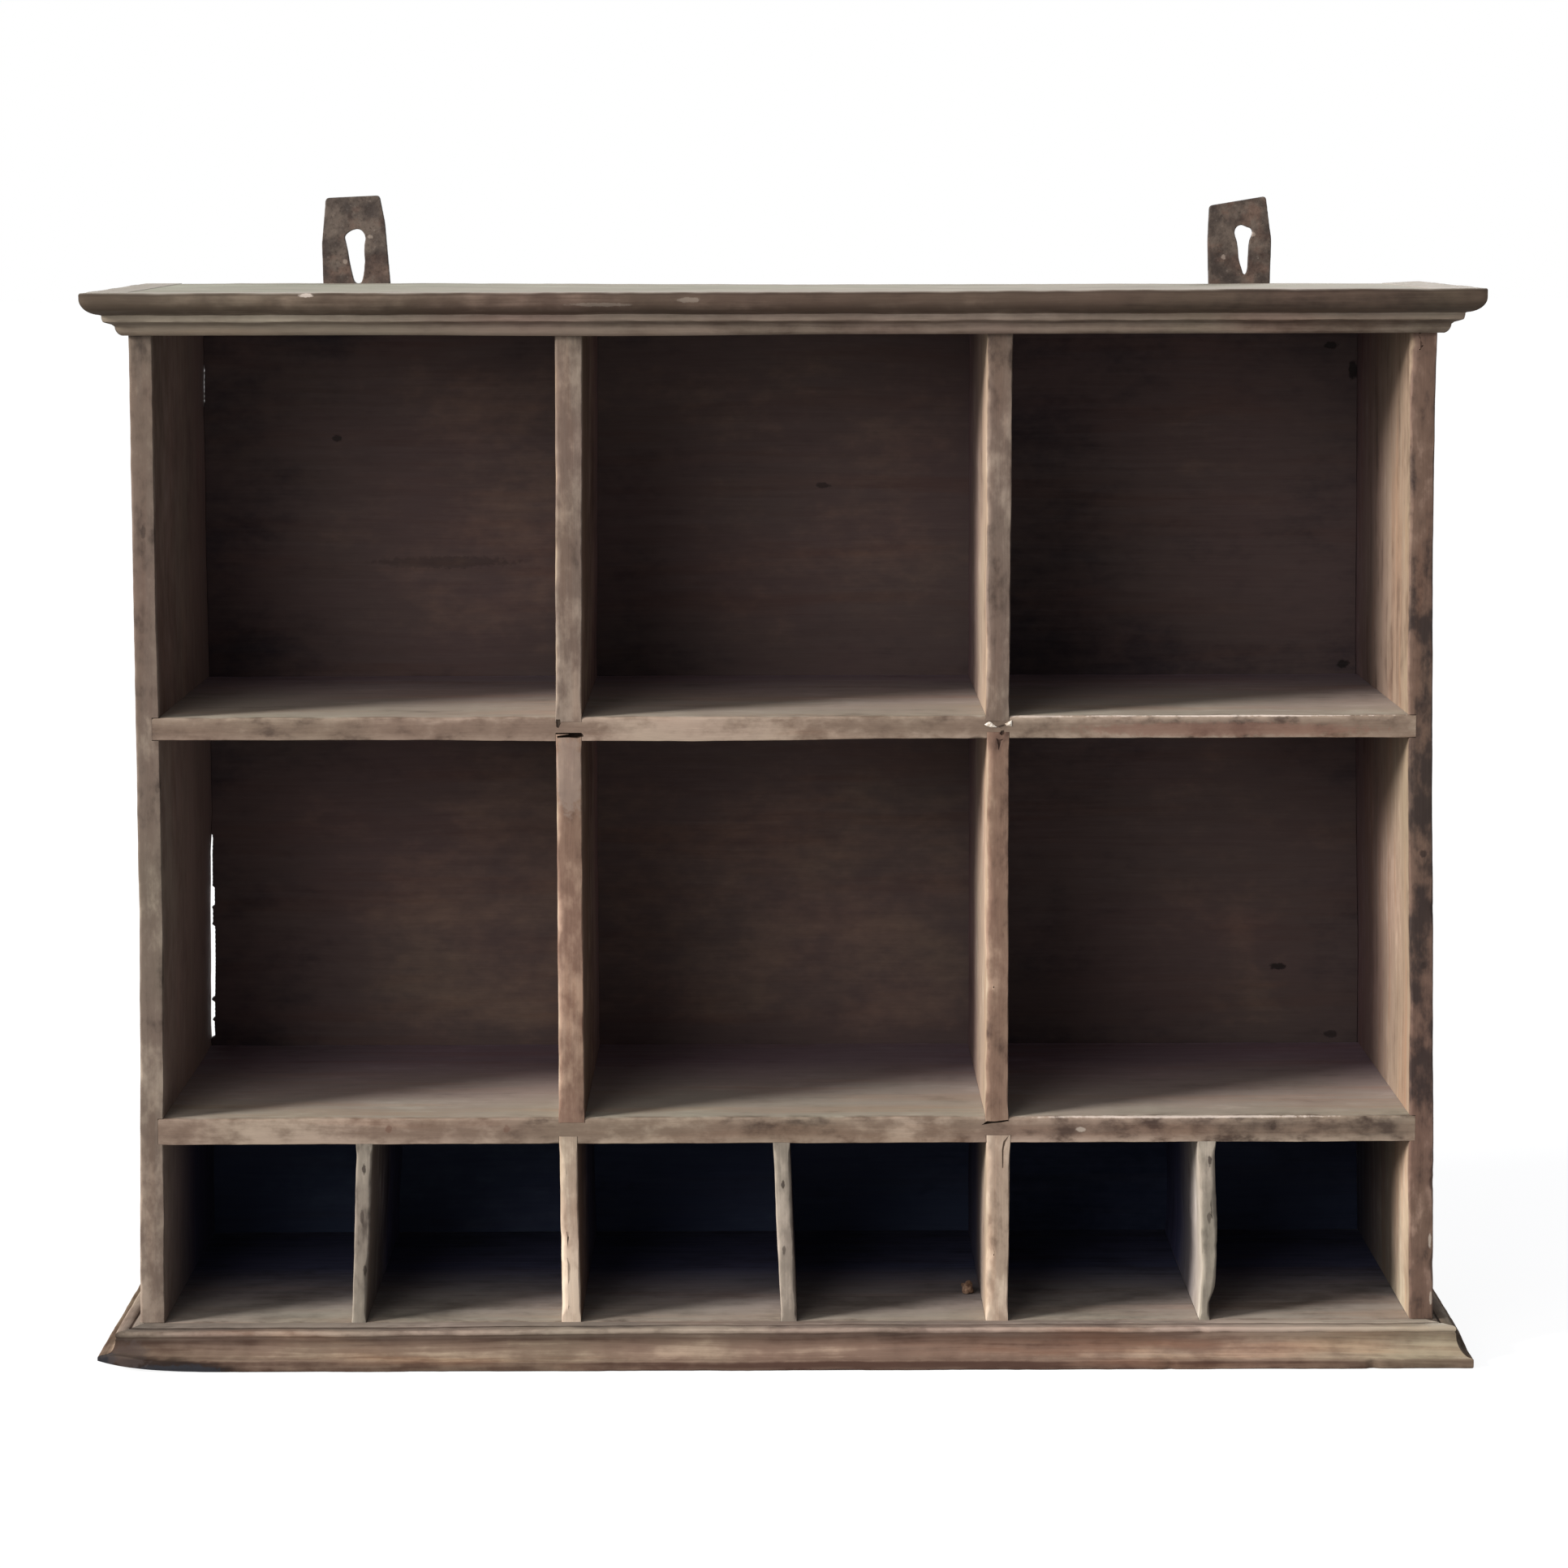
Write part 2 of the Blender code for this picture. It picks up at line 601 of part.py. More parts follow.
def build_top_and_base():
    top = add_board("top_board", (-BODY_X, FRONT_Y, CEILING_Z), (BODY_X, REAR_Y, TOP_Z),
                    "carcass_wood")
    for side in ("left", "right"):
        divider_housing(top, "top_" + side, CEILING_Z, FOOT_HOUSING, True)
    for label, middle, sides in (
            ("left", LEFT_PLATE_X, LEFT_PLATE_SIDES), ("right", RIGHT_PLATE_X, RIGHT_PLATE_SIDES)):
        low_x = middle + sides["left"][-1][0] * MM - SEAT
        high_x = middle + sides["right"][-1][0] * MM + SEAT
        notch = add_cutter(
            f"notch_{label}",
            (low_x, REAR_Y - PLATE_THICKNESS - SEAT, CEILING_Z - PAST),
            (high_x, REAR_Y + PAST, TOP_Z + PAST))
        cut(top, notch)
    screw_holes(top, "plate_screw")
    base = add_board("base_board", (-BODY_X, FRONT_Y, FLOOR_Z - BASE_THICKNESS),
                     (BODY_X, REAR_Y, FLOOR_Z), "shelf_wood")
    for side in ("left", "right"):
        divider_housing(base, "bottom_" + side, FLOOR_Z, FOOT_HOUSING, False)
    for key, (thickness, _, _) in THIN_DIVIDERS.items():
        middle = thin_divider_middles(key)[1]
        housing(base, "housing_thin_" + key, middle - thickness / 2 - SEAT,
                middle + thickness / 2 + SEAT, FLOOR_Z - THIN_HOUSING, FLOOR_Z + PAST)


def build_shelves():
    top_arris, bottom_arris = SHELF_FRONT_ARRISES
    radii = (bottom_arris, ARRIS / 2, ARRIS / 2, top_arris)
    for name, low_z, high_z, above, below in (
            ("shelf_upper", UPPER_SHELF_Z, UPPER_SHELF_TOP_Z, "top", "middle"),
            ("shelf_lower", LOWER_SHELF_Z, LOWER_SHELF_TOP_Z, "middle", "bottom")):
        section = eased_section((FRONT_Y, low_z), (BACK_FACE_Y, high_z), radii)
        middle = (low_z + high_z) / 2
        mesh = prism(name, section, "x", -shelf_end("left", middle), shelf_end("right", middle))
        shelf = add_object(name, mesh, PARTS, "shelf_wood")
        for side in ("left", "right"):
            divider_housing(shelf, f"{above}_{side}", high_z, FOOT_HOUSING, False)
            divider_housing(shelf, f"{below}_{side}", low_z, HEAD_HOUSING, True)


def slant_head(divider, left, right, housing_z):
    """Saw a divider's head out of square, so that it stops short in its housing."""
    width = right - left
    fall = SHORT_HEAD_SLANT / width
    reach = width / 2 + PAST
    saw_cut = add_cutter("short_head", (-reach, FRONT_Y - PAST, 0.0), (reach, REAR_Y, PAST))
    height = housing_z - SHORT_HEAD_GAP + SHORT_HEAD_SLANT / 2
    middle = Vector(((left + right) / 2, (FRONT_Y - PAST + REAR_Y) / 2, height))
    tilt = math.atan(fall)
    saw_cut.rotation_euler = (0.0, tilt, 0.0)
    saw_cut.location = middle + Vector((math.sin(tilt), 0.0, math.cos(tilt))) * (PAST / 2)
    cut(divider, saw_cut)


def build_thick_dividers():
    rows = {
        "top": (UPPER_SHELF_TOP_Z - FOOT_HOUSING + SEAT, CEILING_Z + FOOT_HOUSING - SEAT),
        "middle": (LOWER_SHELF_TOP_Z - FOOT_HOUSING + SEAT, UPPER_SHELF_Z + HEAD_HOUSING - SEAT),
        "bottom": (FLOOR_Z - FOOT_HOUSING + SEAT, LOWER_SHELF_Z + HEAD_HOUSING - SEAT),
    }
    for key in THICK_DIVIDERS:
        left, right = thick_divider_span(key)
        low_z, high_z = rows[key.split("_")[0]]
        radii = (*DIVIDER_FRONT_ARRISES, ARRIS / 2, ARRIS / 2)
        section = eased_section((left, FRONT_Y), (right, BACK_FACE_Y), radii)
        mesh = prism("divider_" + key, section, "z", low_z, high_z)
        divider = add_object("divider_" + key, mesh, PARTS, "shelf_wood")
        if key == SHORT_HEAD:
            slant_head(divider, left, right, high_z + SEAT)


def build_thin_dividers():
    foot_z = FLOOR_Z - THIN_HOUSING + SEAT
    head_z = LOWER_SHELF_Z - SEAT
    for key, (thickness, _, _) in THIN_DIVIDERS.items():
        head, foot = thin_divider_middles(key)
        half = thickness / 2
        outline = [(foot - half, foot_z), (foot + half, foot_z), (foot + half, FLOOR_Z),
                   (head + half, head_z), (head - half, head_z), (foot - half, FLOOR_Z)]
        divider = flat_piece("thin_divider_" + key, [outline], INNER_DEPTH,
                             FRONT_Y + INNER_DEPTH / 2, "thin_wood")
        if key == BROKEN_THIN:
            broken_edge(divider, foot + half)
        ease_edges(divider, ARRIS / 2)


def broken_edge(divider, right):
    """Take the broken piece off a thin divider's front right edge."""
    outline = [(right - gone * MM, FLOOR_Z + height * MM) for gone, height in BREAK_OUTLINE]
    outline += [(right + PAST, outline[-1][1]), (right + PAST, FLOOR_Z)]
    cut(divider, add_prism_cutter("broken_edge", outline, "y", FRONT_Y - PAST,
                                  FRONT_Y + BREAK_DEPTH))


def edge_hollow(edge_x, low_z, hollow):
    """Points up an edge along a shallow worn hollow."""
    rise, length, depth = hollow
    steps = 2 * ARC_STEPS
    return [(edge_x + depth * math.sin(math.pi * i / steps) ** 2, low_z + rise + length * i / steps)
            for i in range(steps + 1)]


def build_back():
    """The back panel, fitted between the sides behind the shelves."""
    foot, head = FLOOR_Z + SEAT, CEILING_Z - SEAT

    def edge(side, height):
        return side_face(side, "inner", height) - BACK_EDGE_PLAY

    right_lean = SIDE_SPLAY["right"]["inner"][0]
    left = -edge("left", head)
    outline = [(-edge("left", foot), foot)]
    outline += edge_hollow(left, LOWER_SHELF_TOP_Z, MIDDLE_HOLLOW)
    outline += edge_hollow(left, UPPER_SHELF_TOP_Z, UPPER_HOLLOW)
    outline += [(left, head), (edge("right", head), head)]
    outline += [(edge("right", right_lean), right_lean), (edge("right", foot), foot)]
    flat_piece("back_panel", [outline], BACK_THICKNESS, REAR_Y - BACK_THICKNESS / 2, "back_wood")


def build_plates():
    tail = (SEAT - TOP_THICKNESS) / MM
    for label, middle, sides, hole in (
            ("left", LEFT_PLATE_X, LEFT_PLATE_SIDES, LEFT_KEYHOLE),
            ("right", RIGHT_PLATE_X, RIGHT_PLATE_SIDES, RIGHT_KEYHOLE)):
        outline = list(sides["left"])
        outline += [(sides["left"][-1][0], tail), (sides["right"][-1][0], tail)]
        outline += list(reversed(sides["right"]))
        outer = round_corners(outline, PLATE_CORNER / MM)
        loops = [[(middle + x * MM, TOP_Z + z * MM) for x, z in loop]
                 for loop in (outer, round_corners(hole, KEYHOLE_CORNER, 2))]
        plate = flat_piece(f"hanging_plate_{label}", loops, PLATE_THICKNESS,
                           REAR_Y - PLATE_THICKNESS / 2, "plate_iron")
        screw_holes(plate, f"plate_screw_{label}")


def build():
    build_top_and_base()
    build_sides()
    build_shelves()
    build_thick_dividers()
    build_thin_dividers()
    build_mouldings("cornice", cornice_profile(), TOP_Z, False)
    build_mouldings("base_moulding", base_profile(), 0.0, True)
    build_back()
    build_plates()
    build_screws()


clear_scene()
PARTS = new_collection("pigeonhole_shelving_unit")
CUTTERS = new_collection("cutters")
build()
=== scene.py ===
import math

import bmesh
import bpy
import numpy as np
from mathutils import Matrix, Vector, noise


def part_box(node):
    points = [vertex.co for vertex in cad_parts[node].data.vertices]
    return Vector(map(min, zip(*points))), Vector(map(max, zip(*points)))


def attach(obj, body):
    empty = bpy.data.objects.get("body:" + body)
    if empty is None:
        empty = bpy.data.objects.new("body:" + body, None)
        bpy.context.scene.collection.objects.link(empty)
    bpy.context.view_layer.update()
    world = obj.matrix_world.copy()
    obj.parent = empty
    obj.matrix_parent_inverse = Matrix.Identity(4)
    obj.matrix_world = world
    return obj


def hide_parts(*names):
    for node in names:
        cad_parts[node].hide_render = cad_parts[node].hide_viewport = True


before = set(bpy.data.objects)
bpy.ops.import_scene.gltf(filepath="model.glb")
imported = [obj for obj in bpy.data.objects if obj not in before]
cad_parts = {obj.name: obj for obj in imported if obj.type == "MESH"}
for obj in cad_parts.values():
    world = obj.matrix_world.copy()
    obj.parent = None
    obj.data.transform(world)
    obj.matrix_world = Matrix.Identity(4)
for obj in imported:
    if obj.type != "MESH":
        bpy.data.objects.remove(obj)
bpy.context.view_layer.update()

# Looks of an old wall-hung pigeonhole unit: worn softwood boards with rubbed arrises,
# run mouldings, forged iron hanging plates. Metres, +Z up, the open front faces -Y.

MM = 0.001

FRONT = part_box("side_left")[0].y
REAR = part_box("side_left")[1].y
BODY_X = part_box("top_board")[1].x
INNER_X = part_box("side_right")[0].x
BACK_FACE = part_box("back_panel")[0].y
FLOOR_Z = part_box("base_board")[1].z
CEILING_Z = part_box("top_board")[0].z
TOP_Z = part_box("top_board")[1].z
LOWER_SHELF_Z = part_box("shelf_lower")[0].z

# Distance from the middle that parts the sides' inner faces from their outer ones.
INSIDE_X = (INNER_X + BODY_X) / 2 + 1 * MM

# Play left at a joint, and between two mitred lengths.
PLAY = 0.12 * MM
MITRE_PLAY = 0.1 * MM

# Spacing of the rings of points along a board, and points round each arris.
RING_SPACING = 3.4 * MM
ARRIS_STEPS = 5

# A front edge's finish fades out between these distances behind the front, and the sides'
# outer faces have this share of it.
EDGE_FADE = (0.8 * MM, 3.5 * MM)
OUTER_SHARE = 0.7

# How far the rubbing of an arris reaches, and how much painted shade darkens the faces turned from the
# sun.
ARRIS_REACH = 2.6 * MM
TURNED_AWAY = 0.6

# The painted shade deep inside a pigeonhole ends this far behind the back panel's face.
SHADE_END = 2.5 * MM

# Over this length at each end, the worn front arrises of a divider fade into the joint.
JOINT_FADE = 14 * MM

# Boards numbered as they are made, so that each one's grain starts elsewhere.
board_count = [0]


# Unevenness

def wander(places, wavelength, seed):
    """Smooth unevenness along a length, between about -1 and 1."""
    draw = np.random.RandomState(seed)
    total = np.zeros(len(places))
    for finer, weight in ((1.0, 0.42), (2.7, 0.22), (6.5, 0.12)):
        for _ in range(3):
            pace = draw.uniform(0.7, 1.4) * finer / wavelength
            total += weight * np.sin(2 * math.pi * (places * pace + draw.uniform()))
    return total


def bump(places, centre, half):
    """A smooth rise of height 1 about a centre, nought beyond half either way."""
    t = np.clip(np.abs(places - centre) / half, 0.0, 1.0)
    return (1 - t * t) ** 2


def near(value, low, high):
    """1 at or below low, 0 at or above high, smooth between."""
    t = np.clip((high - value) / (high - low), 0.0, 1.0)
    return t * t * (3 - 2 * t)


def profile(stations):
    """A value that runs straight between stations, each a place and a value in mm."""
    places, values = np.array(sorted(stations)).T * MM
    return lambda where: np.interp(where, places, values)


# Nodes

def put(tree, kind, inputs=None, **settings):
    """Add a node, set it up and join or fill its inputs."""
    made = tree.nodes.new(kind)
    for name, value in settings.items():
        setattr(made, name, value)
    for name, value in (inputs or {}).items():
        socket = made.inputs[name]
        if isinstance(value, bpy.types.NodeSocket):
            tree.links.new(value, socket)
        else:
            socket.default_value = value
    return made


def maths(tree, operation, first, second=0.0, clamp=False):
    made = put(tree, "ShaderNodeMath", {0: first, 1: second}, operation=operation)
    made.use_clamp = clamp
    return made.outputs[0]


def vector_maths(tree, operation, first, second):
    made = put(tree, "ShaderNodeVectorMath", {0: first, 1: second}, operation=operation)
    return made.outputs[0]


def weighted_sum(tree, *terms):
    """Sum of (value, weight) terms."""
    total = 0.0
    for value, weight in terms:
        total = maths(tree, "ADD", total, maths(tree, "MULTIPLY", value, weight))
    return total


def combine(tree, x, y, z):
    return put(tree, "ShaderNodeCombineXYZ", {0: x, 1: y, 2: z}).outputs[0]


def object_place(tree):
    return put(tree, "ShaderNodeTexCoord").outputs["Object"]


def between(tree, value, low, high, start=0.0, end=1.0):
    """start where the value is low, end where it is high, smooth between."""
    made = put(tree, "ShaderNodeMapRange",
               {"Value": value, "From Min": low, "From Max": high, "To Min": start, "To Max": end},
               interpolation_type="SMOOTHSTEP")
    return made.outputs["Result"]


def mix(tree, amount, first, second, blend="MIX"):
    """Mix two colours. Inputs 0, 6 and 7 are the factor and the colours."""
    made = put(tree, "ShaderNodeMix", {0: amount, 6: first, 7: second},
               data_type="RGBA", blend_type=blend)
    return made.outputs[2]


def mix_values(tree, amount, first, second):
    made = put(tree, "ShaderNodeMix", {0: amount, 2: first, 3: second}, data_type="FLOAT")
    return made.outputs[0]


def grain_noise(tree, vector, scale, detail=3.0, roughness=0.55):
    """Noise whose scale differs by axis, in cycles to the metre."""
    scaled = vector_maths(tree, "MULTIPLY", vector, scale)
    made = put(tree, "ShaderNodeTexNoise",
               {"Vector": scaled, "Scale": 1.0, "Detail": detail, "Roughness": roughness})
    return made.outputs["Fac"]


COLOR, FLOAT, VECTOR = "NodeSocketColor", "NodeSocketFloat", "NodeSocketVector"


def new_group(name, inputs, outputs):
    """A node group, what it is given and what it gives. inputs and outputs are the names
    of its sockets, by kind."""
    tree = bpy.data.node_groups.new(name, "ShaderNodeTree")
    for way, sockets in (("INPUT", inputs), ("OUTPUT", outputs)):
        for kind, names in sockets.items():
            for socket in names:
                tree.interface.new_socket(name=socket, in_out=way, socket_type=kind)
    given, result = tree.nodes.new("NodeGroupInput"), tree.nodes.new("NodeGroupOutput")
    return tree, given.outputs, result.inputs


def rgb(*values):
    """A colour written in screen values from 0 to 255."""
    linear = [v / 255 / 12.92 if v < 11 else ((v / 255 + 0.055) / 1.055) ** 2.4 for v in values]
    return (*linear, 1.0)


# Multipliers: the pinkish and the olive cast that old stain drifts between, the reddish
# streaks, the grime and painted shade in a recess, and the painted shade deep in a high or a
# low pigeonhole and low on the back panel.
PINK_CAST = (1.05, 0.965, 0.95, 1)
OLIVE_CAST = (0.97, 1.02, 0.94, 1)
RUDDY_CAST = (1.06, 0.74, 0.56, 1)
GRIME_AND_SHADE = (0.2, 0.16, 0.14, 1)
HIGH_GLOOM = (0.46, 0.37, 0.55, 1)
LOW_GLOOM = (0.14, 0.17, 0.42, 1)
BACK_GLOOM = (0.38, 0.72, 1.5, 1)
DUST = rgb(157, 150, 140)

# A board's tone runs from 0, its darkest colour, over this middle one to 1, its palest.
MIDDLE_TONE = 0.5

# Share of a mark over which it fades out at its rim, and the relief of the wood's grain.
MARK_SOFTNESS = 0.4
GRAIN_RELIEF = 0.6 * MM


def make_wood_group():
    """Old stained softwood, its grain along the vector's own x."""
    tree, given, result = new_group(
        "Old wood",
        {VECTOR: ["Vector"], COLOR: ["Dark", "Mid", "Pale", "Gloom"],
         FLOAT: ["Tone", "Streaks", "Blotches", "Fibres", "Redness", "Drift", "Tint", "Arris",
                 "Rubbed", "Recess", "Dust", "Deep"]},
        {COLOR: ["Color"], FLOAT: ["Roughness", "Height"]})
    vector = given["Vector"]
    drift = put(tree, "ShaderNodeTexNoise",
                {"Vector": vector_maths(tree, "MULTIPLY", vector, (4.5, 16, 16)), "Scale": 1.0,
                 "Detail": 1.0})
    drift = vector_maths(tree, "SUBTRACT", drift.outputs["Color"], (0.5, 0.5, 0.5))
    drift = vector_maths(tree, "MULTIPLY", drift, (0.0, 0.012, 0.012))
    warped = vector_maths(tree, "ADD", vector, drift)
    broad = grain_noise(tree, warped, (2.2, 85, 85), 3.0)
    fine = grain_noise(tree, warped, (9, 420, 420), 3.0)
    fibre = grain_noise(tree, warped, (45, 1700, 1700), 2.0)
    blotch = grain_noise(tree, vector, (11, 19, 19), 4.0, 0.6)
    mottle = grain_noise(tree, vector, (55, 100, 100), 4.0, 0.6)
    slow = grain_noise(tree, vector, (7, 13, 13), 2.0)

    def swing(value, amount, gain):
        centred = maths(tree, "SUBTRACT", value, 0.5)
        return maths(tree, "MULTIPLY", maths(tree, "MULTIPLY", centred, amount), gain)

    tone = given["Tone"]
    for pattern, amount, gain in ((broad, "Streaks", 1.7), (fine, "Streaks", 0.7),
                                  (blotch, "Blotches", 1.7), (mottle, "Blotches", 1.0)):
        tone = maths(tree, "ADD", tone, swing(pattern, given[amount], gain))
    color = mix(tree, between(tree, tone, 0.0, MIDDLE_TONE), given["Dark"], given["Mid"])
    color = mix(tree, between(tree, tone, MIDDLE_TONE, 1.0), color, given["Pale"])
    ruddy = grain_noise(tree, warped, (5, 60, 60), 3.0)
    ruddy = maths(tree, "MULTIPLY", between(tree, ruddy, 0.48, 0.72), given["Redness"])
    color = mix(tree, ruddy, color, RUDDY_CAST, "MULTIPLY")
    rub_and_highlight = between(tree, mottle, 0.3, 0.62)
    rub_and_highlight = maths(tree, "MULTIPLY", rub_and_highlight, maths(tree, "MULTIPLY", given["Arris"], given["Rubbed"]))
    color = mix(tree, rub_and_highlight, color, given["Pale"])
    cast = maths(tree, "ADD", swing(slow, given["Drift"], 3.4), 0.5)
    cast = maths(tree, "ADD", cast, maths(tree, "MULTIPLY", given["Tint"], 0.5), clamp=True)
    color = mix(tree, 1.0, color, mix(tree, cast, PINK_CAST, OLIVE_CAST), "MULTIPLY")
    dusty = maths(tree, "MULTIPLY", given["Dust"], between(tree, mottle, 0.25, 0.6, 0.72, 1.0))
    color = mix(tree, dusty, color, DUST)
    fibre_shade = maths(tree, "ADD", swing(fibre, given["Fibres"], 1.6), 1.0)
    scaled = put(tree, "ShaderNodeVectorMath", {0: color, "Scale": fibre_shade},
                 operation="SCALE").outputs[0]
    # Recesses are darkened with grime and painted shade.
    shade_and_grime = maths(tree, "MULTIPLY", given["Recess"], between(tree, mottle, 0.1, 0.55, 0.7, 1.0))
    color = mix(tree, shade_and_grime, scaled, GRIME_AND_SHADE, "MULTIPLY")
    # Deep inside a pigeonhole the colour is multiplied by the gloom: painted shade.
    color = mix(tree, given["Deep"], color, given["Gloom"], "MULTIPLY")
    height = weighted_sum(tree, (broad, 0.35), (fine, 0.4), (fibre, 0.25), (mottle, 0.35))
    tree.links.new(color, result["Color"])
    tree.links.new(between(tree, fine, 0.3, 0.7, 0.86, 0.68), result["Roughness"])
    tree.links.new(height, result["Height"])
    return tree


def make_mark_group():
    """Mask of one ragged mark: 1 inside an ellipsoid about a centre."""
    tree, given, result = new_group(
        "Mark", {VECTOR: ["Vector", "Centre", "Reach"], FLOAT: ["Ragged"]}, {FLOAT: ["Mask"]})
    offset = vector_maths(tree, "SUBTRACT", given["Vector"], given["Centre"])
    offset = vector_maths(tree, "DIVIDE", offset, given["Reach"])
    far = put(tree, "ShaderNodeVectorMath", {0: offset}, operation="LENGTH").outputs["Value"]
    rough = grain_noise(tree, given["Vector"], (260, 260, 260), 3.0, 0.6)
    rough = maths(tree, "MULTIPLY", maths(tree, "SUBTRACT", rough, 0.5), given["Ragged"])
    far = maths(tree, "ADD", far, maths(tree, "MULTIPLY", rough, 4.0))
    mask = between(tree, far, 1.0 - MARK_SOFTNESS, 1.0, 1.0, 0.0)
    tree.links.new(mask, result["Mask"])
    return tree


def make_grain_vector_group():
    """Object coordinates turned so that a board's grain runs along x, moved by its number."""
    tree, given, result = new_group(
        "Grain direction", {VECTOR: ["Vector"], FLOAT: ["Board", "Upright", "Fore and aft"]},
        {VECTOR: ["Vector"]})
    vector = given["Vector"]
    x, y, z = put(tree, "ShaderNodeSeparateXYZ", {0: vector}).outputs
    for way, turned in (("Upright", (z, x, y)), ("Fore and aft", (y, z, x))):
        vector = put(tree, "ShaderNodeMix",
                     {0: given[way], 4: vector, 5: combine(tree, *turned)},
                     data_type="VECTOR").outputs[1]
    shift = maths(tree, "MULTIPLY", given["Board"], 1.37)
    shifted = vector_maths(tree, "ADD", vector, combine(tree, shift, shift, shift))
    tree.links.new(shifted, result["Vector"])
    return tree


WOOD = make_wood_group()
MARK = make_mark_group()
GRAIN = make_grain_vector_group()


def grouped(tree, group, inputs):
    made = tree.nodes.new("ShaderNodeGroup")
    made.node_tree = group
    for name, value in inputs.items():
        if isinstance(value, bpy.types.NodeSocket):
            tree.links.new(value, made.inputs[name])
        else:
            made.inputs[name].default_value = value
    return made.outputs


def mask_attribute(tree, name):
    return put(tree, "ShaderNodeAttribute", attribute_name=name).outputs["Fac"]


def new_material(name, gloss=None):
    """A material, its nodes and its shader."""
    material = bpy.data.materials.new(name)
    material.use_nodes = True
    shader = material.node_tree.nodes["Principled BSDF"]
    if gloss is not None:
        shader.inputs["Specular IOR Level"].default_value = gloss
    return material, material.node_tree, shader


def new_object(name, data):
    made = bpy.data.objects.new(name, data)
    bpy.context.scene.collection.objects.link(made)
    return made


def applied(thing):
    """The mesh of an object with its modifiers applied."""
    bpy.context.view_layer.update()
    result = thing.evaluated_get(bpy.context.evaluated_depsgraph_get())
    return bpy.data.meshes.new_from_object(result)


def wood(name, grain, edge, face, streaks=(0.15, 0.25), blotches=(1.1, 0.6), fibres=0.2,
         redness=0.3, drift=0.5, rubbed=0.5, relief_depth=0.3, marks=(), low_gloom=LOW_GLOOM,
         gloss=0.2):
    """A wood finish. edge and face are (dark, mid, pale) for front edges and for flats,
    and streaks and blotches are given for each of the two as well."""
    material, tree, shader = new_material(name, gloss)
    place = object_place(tree)
    direction = {"x": (0.0, 0.0), "z": (1.0, 0.0), "y": (0.0, 1.0)}[grain]
    vector = grouped(tree, GRAIN, {"Vector": place, "Board": mask_attribute(tree, "board"),
                                   "Upright": direction[0], "Fore and aft": direction[1]})[0]
    front = mask_attribute(tree, "front")
    colors = [mix(tree, front, face[i], edge[i]) for i in range(3)]
    height = put(tree, "ShaderNodeSeparateXYZ", {0: place}).outputs[2]
    # The painted shade deep inside is darker and bluer below the lower shelf.
    low = between(tree, height, LOWER_SHELF_Z, LOWER_SHELF_Z + 12 * MM, 1.0, 0.0)
    out = grouped(tree, WOOD, {
        "Vector": vector, "Dark": colors[0], "Mid": colors[1], "Pale": colors[2],
        "Tone": maths(tree, "ADD", mask_attribute(tree, "worn"), MIDDLE_TONE),
        "Streaks": mix_values(tree, front, streaks[1], streaks[0]),
        "Blotches": mix_values(tree, front, blotches[1], blotches[0]),
        "Fibres": fibres, "Redness": redness, "Drift": drift,
        "Rubbed": rubbed, "Gloom": mix(tree, low, HIGH_GLOOM, low_gloom),
        **{name.capitalize(): mask_attribute(tree, name)
           for name in ("tint", "arris", "recess", "dust", "deep")}})
    color = out["Color"]
    for centre, reach, stain, amount in marks:
        mask = grouped(tree, MARK, {"Vector": place, "Centre": [c * MM for c in centre],
                                    "Reach": [r * MM for r in reach], "Ragged": 0.3})["Mask"]
        color = mix(tree, maths(tree, "MULTIPLY", mask, amount), color, stain)
    tree.links.new(color, shader.inputs["Base Color"])
    tree.links.new(out["Roughness"], shader.inputs["Roughness"])
    relief = put(tree, "ShaderNodeBump", {"Height": out["Height"], "Strength": relief_depth,
                                          "Distance": GRAIN_RELIEF})
    tree.links.new(relief.outputs["Normal"], shader.inputs["Normal"])
    return material


# Pieces

MASKS = ("arris", "front", "recess", "worn", "tint", "dust", "deep", "board")


def store(piece, name, values):
    """Store a value for each point of a piece, or one for all."""
    values = np.asarray(values, dtype=np.float32)
    layer = piece.data.attributes.new(name, "FLOAT", "POINT")
    layer.data.foreach_set("value", np.broadcast_to(values, len(piece.data.vertices)).copy())


def paint(piece, **masks):
    """Store the masks that the wood finish reads. Those not given are nought."""
    board_count[0] += 1
    masks["board"] = float(board_count[0])
    for name in MASKS:
        store(piece, name, masks.get(name, 0.0))


def points_of(piece):
    spots = np.empty(len(piece.data.vertices) * 3)
    piece.data.vertices.foreach_get("co", spots)
    return spots.reshape(-1, 3)


def run_back(spots):
    """How far back a point lies: 0 at the front, 1 at the back panel."""
    return np.clip((spots[:, 1] - FRONT) / (BACK_FACE - FRONT), 0.0, 1.0)


def depth_of(spots):
    """How deep inside a pigeonhole a point is: 0 at the front, 1 at the back panel."""
    inside = np.abs(spots[:, 0]) < INSIDE_X
    inside &= (spots[:, 2] > FLOOR_Z - 1 * MM) & (spots[:, 2] < CEILING_Z + 1 * MM)
    return run_back(spots) * inside * (spots[:, 1] < BACK_FACE + SHADE_END)


def crease(piece, angle=38.0):
    """Shade smooth, with every edge sharper than the angle left crisp."""
    shape = bmesh.new()
    shape.from_mesh(piece.data)
    bmesh.ops.recalc_face_normals(shape, faces=shape.faces)
    limit = math.radians(angle)
    for face in shape.faces:
        face.smooth = True
    for edge in shape.edges:
        edge.smooth = not (len(edge.link_faces) == 2 and edge.calc_face_angle(0.0) > limit)
    shape.to_mesh(piece.data)
    shape.free()


def make_piece(name, points, faces, material, nodes=()):
    """A piece of the unit that stands for CAD nodes and rides with the body."""
    mesh = bpy.data.meshes.new(name)
    mesh.from_pydata([tuple(p) for p in points], [], faces)
    mesh.update()
    piece = new_object(name, mesh)
    mesh.materials.append(material)
    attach(piece, "root")
    if nodes:
        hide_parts(*nodes)
    return piece


